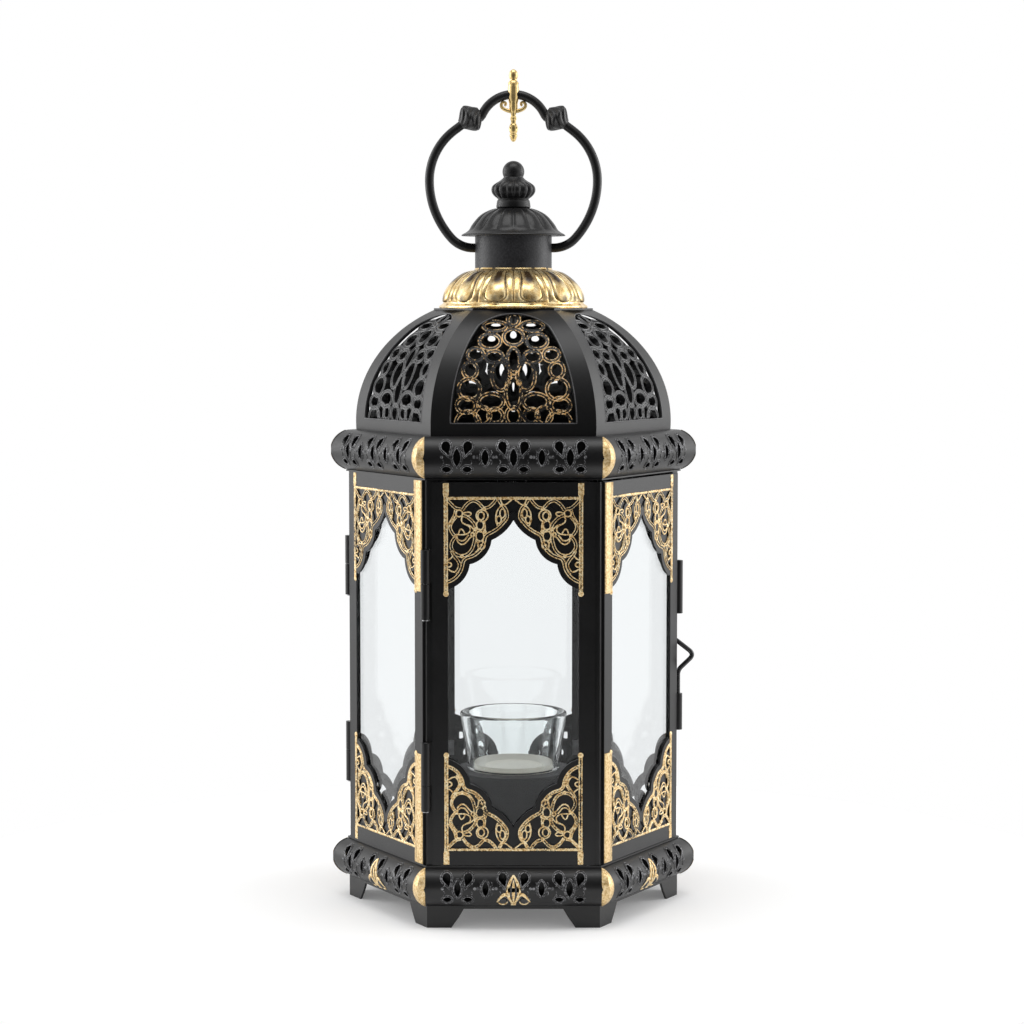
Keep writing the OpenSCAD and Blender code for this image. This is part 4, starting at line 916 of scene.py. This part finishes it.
def collar():
    """Ring of embossed petals with ribs between them, and its inner side, with dark reflections
    painted on the petals.
    """
    build = Build()
    lo, hi = low("collar"), high("collar")
    z0, height = lo.z, hi.z - lo.z
    rim, top = hi.x, high("neck_drum").x + 0.5
    t = np.linspace(0, 1, 70)
    r = top + (rim - 2 - top) * np.sin(math.pi / 2 * t) ** 1.1
    z = z0 + height - 1 - (height - 3.4) * (1 - np.cos(math.pi / 2 * t))
    outer = np.concatenate([[[top - 0.4, z0 + height]], np.column_stack([r, z]),
                            [[rim - 0.9, z0 + 1.6], [rim - 0.1, z0 + 1.1], [rim, z0 + 0.5],
                             [rim - 0.3, z0 + 0.02]]])
    s = np.concatenate([[0], t, [1.05, 1.1, 1.15, 1.2]])[:, None]

    def shape(r, z, a):
        u = (a + math.pi / 2) * PETALS / (2 * math.pi)
        phase = np.abs(u - np.floor(u) - 0.5) * 2       # 0 at a petal's middle, 1 between two
        half = 0.47 + 0.14 * smooth_step(s, 0.35, 0.85)
        round_foot = np.sqrt(np.clip(1 - ((s - 0.84) / 0.135) ** 2, 0, 1))
        half = np.where(s > 0.84, half * round_foot, half)
        live = (s > HEAD_S - 0.01) & (s < HEEL_S)
        inside = np.clip(1 - (phase / np.maximum(half, 1e-3)) ** 2, 0, 1) * live
        lobe = np.sqrt(inside) * smooth_step(s, 0.16, 0.24)
        groove = np.exp(-((phase - half) / 0.045) ** 2) * live
        heel = np.exp(-((s - HEEL_S) / 0.012) ** 2) * (phase < 0.3)
        split = np.exp(-((phase - 1) / 0.035) ** 2) * (s < 0.98)
        share = np.clip((phase - half) / np.maximum(1 - half, 1e-3), 0, 1)
        rib = np.sin(math.pi * share) * (s < 0.97) * (phase > half)
        push = 1.15 * lobe - 0.5 * groove + 0.55 * rib - 0.35 * split - 0.8
        push *= smooth_step(s, 0.04, 0.2) * (s <= 1)
        push += 1.1 * smooth_step(s, 0.35, 0.9) * (s <= 1)
        ripple = 0.35 * np.cos(2 * math.pi * u) * (s > 1.04)
        tile = (s < HEAD_S) * (phase > 0.8) * 0.75
        # Painted dark reflections and shade: the petals' heads, the middles of their feet, the
        # feet of the ribs and one side of the upper ribs are made darker
        painted_reflection_head = smooth_step(0.74 - s, 0, 0.26) * (phase < half + 0.02) * (s > HEAD_S)
        painted_reflection_head *= 0.72 + 0.22 * np.cos(math.pi * phase / np.maximum(half, 1e-3))
        painted_reflection_heel = smooth_step(s, 0.68, 0.93) * (s < 0.965) * np.exp(-(phase / 0.26) ** 2) * 0.7
        painted_reflection_rib = (np.exp(-((s - 0.9) / 0.07) ** 2) * np.exp(-((share - 0.6) / 0.4) ** 2)
                    * (phase > half) * 0.62)
        painted_reflection_rib += smooth_step(0.6 - s, 0, 0.3) * (phase > half) * (s > HEAD_S) * share * 0.5
        worn_and_shading = (0.98 - 0.75 * groove - 0.6 * heel * live - 0.6 * split * (s > 0.1) - tile
                - painted_reflection_head - painted_reflection_heel - painted_reflection_rib)
        return r + push + ripple, z, np.clip(worn_and_shading, 0, 1)

    revolve(build, outer, PETALS * 48, shape)
    inner = np.column_stack([r[::-6] - 2.8, z[::-6] - 1.4])
    revolve(build, np.concatenate([[[rim - 0.3, z0 + 0.02], [rim - 2.6, z0 + 0.02]], inner]),
            PETALS * 8)
    build.piece("collar_petals", GILT_COLLAR, "antique_gold", replaces=["collar"])


collar()

# ---- Cap and finial ----

FLUTES = 16


def fluted(phase):
    """0 in the middle of a flute and 1 on the edge between two."""
    return 1 - np.cos(math.pi / 2 * np.abs(phase - np.floor(phase) - 0.5) ** 1.4 * 2 ** 1.4)


def fluted_turning(node, name, outer, heights, levels, depth, share, columns):
    """Turned piece whose flutes are as deep as a level that changes with the height."""
    build = Build()
    level = np.interp(outer[:, 1], heights, levels)[:, None]

    def shape(r, z, a):
        flute = fluted(a * FLUTES / (2 * math.pi))
        return r - depth * level * (flute - share), z, np.clip(1 - flute * level, 0, 1)

    revolve(build, outer + (0, low(node).z), FLUTES * columns, shape)
    build.piece(name, COAT, replaces=[node])


CAP_RIM, CAP_H = high("cap").x, high("cap").z - low("cap").z
bell = flowing((25.3, 0.9, 23.6, 1.8, 22.1, 3.1, 20.9, 5, 19.5, 6.9, 17.3, 9.4, 14.8, 11.3,
                11.4, 12.9, 9.2, 13.6), 0.4)
bell = np.concatenate([[[high("neck_drum").x - 1.7, 0], [CAP_RIM, 0.02], [CAP_RIM, 0.4]], bell,
                       [[2.2, CAP_H]]])
fluted_turning("cap", "cap_fluted", bell, (1.7, 5, 12.4, 13.6, CAP_H), (0, 1, 1, 0.5, 0), 1.15,
               0.25, 24)

FINIAL_H, BALL_R = high("finial").z - low("finial").z, 5.45
ball = np.maximum(arc((0, FINIAL_H - BALL_R), BALL_R, -28, 90, 20), 0.02)
onion = flowing((7.6, 4.35, 8.4, 5.1, 9.6, 6.1, 10.7, 7.7, 10.95, 9.4, 10.3, 11, 8.8, 12.3,
                 7, 13.4, 5.7, 14.4, 5, 15.1), 0.35)
ring = [[2, 0], [8.2, 0], [8.5, 0.3], [8.55, 0.9], [8.3, 2.6], [8.1, 3.7], [7.8, 4.1]]
fluted_turning("finial", "finial_turned", np.concatenate([ring, onion, ball]),
               (4.5, 6.4, 11, 13.6), (0, 1, 1, 0), 1, 0.15, 20)

# ---- Bail: wire and beads ----

WIRE, LEG_HEAD, BOW_RISE, LOW_BOW, HIGH_BOW, ARCH = 2.25, 3.2, 33.3, 42.5, 31, 17.1
ELBOW_A, BOW_A, ARCH_A = -42, 53.13, 66


def bail():
    """Level ends, tight elbows, wide bows and a round arch between the beads."""
    build = Build()
    lo, hi = low("bail_wire"), high("bail_wire")
    base, top, half = lo.z + LEG_HEAD, hi.z - WIRE, hi.x - WIRE
    bow = base + BOW_RISE
    turn = np.array((math.cos(math.radians(ELBOW_A)), math.sin(math.radians(ELBOW_A))))
    start = np.array((half - LOW_BOW, bow)) + LOW_BOW * turn
    elbow = (start[1] - base) / (1 + turn[1])
    end = high("neck_drum").x - 4
    middle = (low("bead_right") + high("bead_right")) / 2
    line = [(end, base), (end, base), (end + 1.2, base), (end + 1.21, base)]
    line += [(x, base) for x in np.linspace(end + 2, start[0] - elbow * turn[0] - 1, 6)]
    line += arc(start - elbow * turn, elbow, -90, ELBOW_A, 14)
    line += arc((half - LOW_BOW, bow), LOW_BOW, ELBOW_A, 0, 20)[1:]
    line += arc((half - HIGH_BOW, bow), HIGH_BOW, 0, BOW_A, 20)[1:]
    line += [(middle.x, middle.z), (19.4, middle.z - 0.5), (17.7, middle.z - 0.4),
             (16.5, middle.z + 0.5)]
    line += arc((0, top - ARCH), ARCH, 90 - ARCH_A, 90, 24)
    line = np.array(line + [(-x, z) for x, z in line[-2::-1]])
    line[0, 0] -= 0.01
    line[-1, 0] += 0.01
    radius = np.full(len(line), WIRE)
    radius[[0, -1]] = 0.02
    radius[[1, 2, -3, -2]] = LEG_HEAD
    x, z = line.T
    tube(build, np.column_stack([x, 0 * x, z]), radius, 20)
    build.piece("bail_bent_wire", COAT, body="bail", replaces=["bail_wire"])


bail()

BEAD_TILT, BEAD_LENGTH, BEAD_SWELL, BEAD_BORE, BEAD_RIBS, BEAD_TWIST = 56, 11.6, 4.6, 2.4, 8, 2.6


def bead(node, side):
    """Bead with a sharp waist and twisted ribs, where the arch meets the bow."""
    build = Build()
    centre = (low(node) + high(node)) / 2
    tilt = -side * math.radians(BEAD_TILT)
    t = np.linspace(-1, 1, 35)
    full = (math.sqrt(1.05) - np.sqrt(t * t + 0.05)) / (math.sqrt(1.05) - math.sqrt(0.05))
    rows = np.column_stack([BEAD_BORE + BEAD_SWELL * full, t * BEAD_LENGTH / 2])

    def shape(r, z, a):
        flute = fluted(a * BEAD_RIBS / (2 * math.pi) - z * side * BEAD_TWIST / BEAD_LENGTH)
        depth = 1.3 * np.clip((r - BEAD_BORE) / BEAD_SWELL, 0, 1) ** 0.7
        return r - depth * (flute - 0.2), z, np.clip(1 - flute, 0, 1)

    def place(p):
        c, s = math.cos(tilt), math.sin(tilt)
        return np.column_stack([p[:, 0] * c + p[:, 2] * s + centre.x, p[:, 1] + centre.y,
                                p[:, 2] * c - p[:, 0] * s + centre.z])

    revolve(build, rows, 144, shape, place)
    build.piece(node + "_ribbed", COAT, body="bail", replaces=[node])


bead("bead_right", 1)
bead("bead_left", -1)

# ---- Latch wire ----

LATCH_LOOP, LATCH_RISES = 7.2, (8, 7.2)


def towards(a, b, length):
    return a + (b - a) / np.linalg.norm(b - a) * length


def latch():
    """Wire with rounded bends: stem, finger loop and the end that springs into its groove."""
    build = Build()
    lo, hi = low("latch_wire"), high("latch_wire")
    r = (hi.y - lo.y) / 2
    axis = hi.x - LATCH_LOOP - r
    tip = np.array([lo.x + r, 0, hi.z - r])
    loop = np.array([axis + LATCH_LOOP + 1.1, 0, tip[2] - LATCH_RISES[1]])
    knee = np.array([axis, 0, loop[2] - LATCH_RISES[0]])
    foot = np.array([axis, 0, lo.z])
    line = [foot + (0, 0, 0.01), foot + (0, 0, 0.02)]
    line += [foot + (knee - foot) * f for f in (0.3, 0.6)]
    for before, bend, after, size in ((foot, knee, loop, 2.4), (knee, loop, tip, 3.4)):
        a, c = towards(bend, before, size), towards(bend, after, size)
        for t in np.linspace(0, 1, 14):
            line.append((1 - t) ** 2 * a + 2 * t * (1 - t) * bend + t * t * c)
    line += [towards(tip, loop, -f * r) for f in (0, 0.6, 1)]
    radius = np.full(len(line), r)
    radius[[0, -2, -1]] = 0.02, 0.8 * r, 0.02
    tube(build, np.array(line), radius, 16)
    build.piece("latch_bent_wire", COAT_GLOSS, body="latch", replaces=["latch_wire"])


latch()

# ---- Brass ornament on the bail ----

# Outlines of (r or x, height) about the bail's wire, from the top down and from the sleeve out
ORNAMENT = ((0.02, 12.5), (1.1, 12), (1.9, 11), (2.25, 9.6), (2.05, 8.2), (1.75, 7.3), (2, 6.5),
    (2.5, 5.9), (2.7, 5.3), (2.45, 4.7), (2.65, 3.6), (2.85, 1.4), (2.8, -1.1), (2.5, -3),
    (2.1, -4.6), (2.15, -6.2), (1.9, -8), (1.45, -9.3), (1.25, -10.6), (1.65, -11.8),
    (1.25, -13.1), (1.35, -14.3), (1.9, -15.3), (2.2, -16.8), (1.95, -18.4), (1.6, -19.2),
    (1.95, -20.1), (1.8, -20.9), (1.4, -22.1), (0.8, -23.1), (0.02, -23.4))
CURL = (1.4, -8.3, 3.6, -7.7, 5.2, -6.9, 6, -5.7, 5.8, -4.4, 4.8, -3.8, 3.9, -4.2, 3.9, -5.1, 4.5,
    -5.5)


def ornament():
    """Turned sleeve with an onion, a pair of curls and a beaded drop."""
    build = Build()
    lo, hi = low("bail_ornament").z, high("bail_ornament").z
    wire = (lo - ORNAMENT[-1][1] + hi - ORNAMENT[0][1]) / 2
    r, z = flowing(ORNAMENT[::-1], 0.25).T
    revolve(build, np.column_stack([np.maximum(r, 0.02), np.clip(z + wire, lo, hi)]), 40)
    x, z = flowing(CURL, 0.25).T
    for s in (-1, 1):
        tube(build, np.column_stack([s * x, 0 * x, wire + z]), np.linspace(1.05, 0.62, len(x)),
             12)
    build.piece("ornament_cast", BRASS, "brass", "bail", replaces=["bail_ornament"])


ornament()

# ---- Glass cup and its frosted floor ----

CUP_FOOT, CUP_WALL, CUP_BASE, CUP_BEVEL = 23.5, 2.6, 0.8, 1.1
# Frosted dish: rows of (r, height over the cup's floor) and how pale each is; the darker slope
# inside its rim is painted shade
DISH = ((0.01, 0.12), (14.4, 0.12), (14.7, 0.16), (19.6, 2.3), (20, 2.3), (20.3, 0.2))
DISH_SHADE = (1, 1, 0.45, 0.3, 1, 1)
# The frosted dish's emission is a painted glow, as no lamp lies in the cup
DISH_GLOW = 0.16


def cup():
    """Tumbler with a rounded rim and a thin base."""
    build = Build()
    foot, top, rim = low("glass_cup").z, high("glass_cup").z, high("glass_cup").x
    bead, inner, z = CUP_WALL / 2, CUP_FOOT - CUP_WALL, foot + CUP_BASE
    rows = [(0.01, foot), (CUP_FOOT - 1.2, foot), (CUP_FOOT - 0.4, foot + 0.3),
            (CUP_FOOT, foot + CUP_BEVEL)]
    rise = top - bead - foot - CUP_BEVEL
    rows += [(CUP_FOOT + (rim - CUP_FOOT) * f, foot + CUP_BEVEL + rise * f)
             for f in np.linspace(0.1, 0.97, 10)]
    rows += arc((rim - bead, top - bead), bead, 0, 180, 16)
    rows += [(inner + 0.3, z + 1.6), (inner, z + 0.6), (inner - 0.2, z + 0.1),
             (inner - 0.5, z), (0.01, z)]
    revolve(build, rows, 128)
    build.piece("cup_tumbler", CUP_GLASS, "clear_glass", "cup", replaces=["glass_cup"])


def frosting():
    """Frosted dish on the cup's floor, with painted shade on the slope inside its rim and a
    painted glow.
    """
    build = Build()
    revolve(build, np.add(DISH, (0, low("glass_cup").z + CUP_BASE)), 72, wear_and_shading=DISH_SHADE)
    look = Look("frosted_floor")
    pale = look.ramp(look.noise(90, 4, 0.6), (0.3, (0.88, 0.84, 0.72)), (0.7, (0.98, 0.95, 0.84)))
    material = look.dressed({
        # The dark colour on the slope inside the rim is painted shade
        "Base Color": look.mix(look.wear_and_shading(), (0.42, 0.42, 0.39), pale),
        "Roughness": 0.3, "Specular IOR Level": 0.9,
        # Painted glow on the frosted dish
        "Emission Color": (1.0, 0.93, 0.78), "Emission Strength": DISH_GLOW,
        "Normal": look.bump(look.noise(1400, 2), 0.00005, 0.1)})
    build.piece("cup_frosting", material, "clear_glass", "cup")


cup()
frosting()

# ---- Camera, stage and lights ----

FLOOR_R, FLOOR_GLOW, DIFFUSE_WORLD = 0.32, 0.16, 0.75
LENS, CAMERA_AT, CAMERA_DOWN = 92.53, (-0.0007, -1.3195, 0.29766), 4.444
LAMP_POWER, LAMP_AIM = 12, Vector((0, 0, 0.2))
LAMPS = (("left_box", (-1.6, 0.35, 0.6), (1.0, 1.2)), ("right_box", (1.6, 0.35, 0.6), (1.0, 1.2)),
    ("top_box", (0, -0.3, 1.8), (1.4, 1.0)))


def stage():
    """Round floor whose edge lies behind the lantern and out of the picture in front."""
    mesh = bpy.data.meshes.new("floor")
    rim = np.column_stack([ellipse(0, 0, FLOOR_R, FLOOR_R, 64), np.zeros(64)])
    mesh.from_pydata(rim.tolist(), [], [tuple(range(64))])
    look = Look("floor_white")
    look.dressed({"Base Color": (0.8, 0.8, 0.8), "Roughness": 0.9, "Specular IOR Level": 0.1})
    surface = look.shader.outputs[0]
    glow = look.new("Emission", {"Strength": FLOOR_GLOW}).outputs[0]
    lit = look.new("AddShader", {0: surface, 1: glow}).outputs[0]
    ray, seen = look.rays()
    seen = look.math("ADD", seen, ray["Is Glossy Ray"], True)
    mixed = look.new("MixShader", {0: seen, 1: surface, 2: lit}).outputs[0]
    look.put(look.out, {"Surface": mixed})
    mesh.materials.append(look.material)
    obj = linked("floor", mesh)


def world():
    """White backdrop and sides; in reflections it is dim in front and overhead."""
    studio = bpy.data.worlds.new("studio")
    bpy.context.scene.world = studio
    tree = Tree(studio)
    place = tree.new("TexCoord").outputs["Generated"]
    place = tree.new("SeparateXYZ", {0: place}).outputs

    def fade(axis, start, end, first, last):
        return tree.new("MapRange", {"Value": place[axis], "From Min": start, "From Max": end,
                                     "To Min": first, "To Max": last},
                        interpolation_type="SMOOTHSTEP").outputs[0]

    around = tree.math("MULTIPLY", fade("Y", -0.9, -0.45, 0.05, 1.0),
                       fade("Z", 0.55, 0.98, 1.0, 0.3))
    ray, seen = tree.rays()
    glossy = ray["Is Glossy Ray"]
    # Camera and transmission rays see 1, glossy ones the fades and the rest an even level
    other = tree.math("MULTIPLY", tree.math("SUBTRACT", 1.0, glossy), DIFFUSE_WORLD)
    dim = tree.math("ADD", tree.math("MULTIPLY", glossy, around), other)
    shade = tree.new("Background", {"Color": (1, 1, 1),
                                    "Strength": tree.math("MAXIMUM", seen, dim)})
    tree.new("OutputWorld", {0: shade.outputs[0]})


def lamp(name, place, size):
    data = bpy.data.lights.new(name, "AREA")
    data.shape = "RECTANGLE"
    data.size, data.size_y = size
    data.energy = LAMP_POWER
    obj = linked(name, data)
    obj.location = place
    obj.rotation_euler = (LAMP_AIM - Vector(place)).to_track_quat("-Z", "Y").to_euler()


def camera():
    data = bpy.data.cameras.new("camera")
    data.sensor_width = 36
    data.lens = LENS
    obj = linked("camera", data)
    obj.location = CAMERA_AT
    obj.rotation_euler = (math.radians(90 - CAMERA_DOWN), 0, 0)
    bpy.context.scene.camera = obj


stage()
world()
for name, place, size in LAMPS:
    lamp(name, place, size)
camera()
bpy.context.scene.view_settings.view_transform = "Standard"
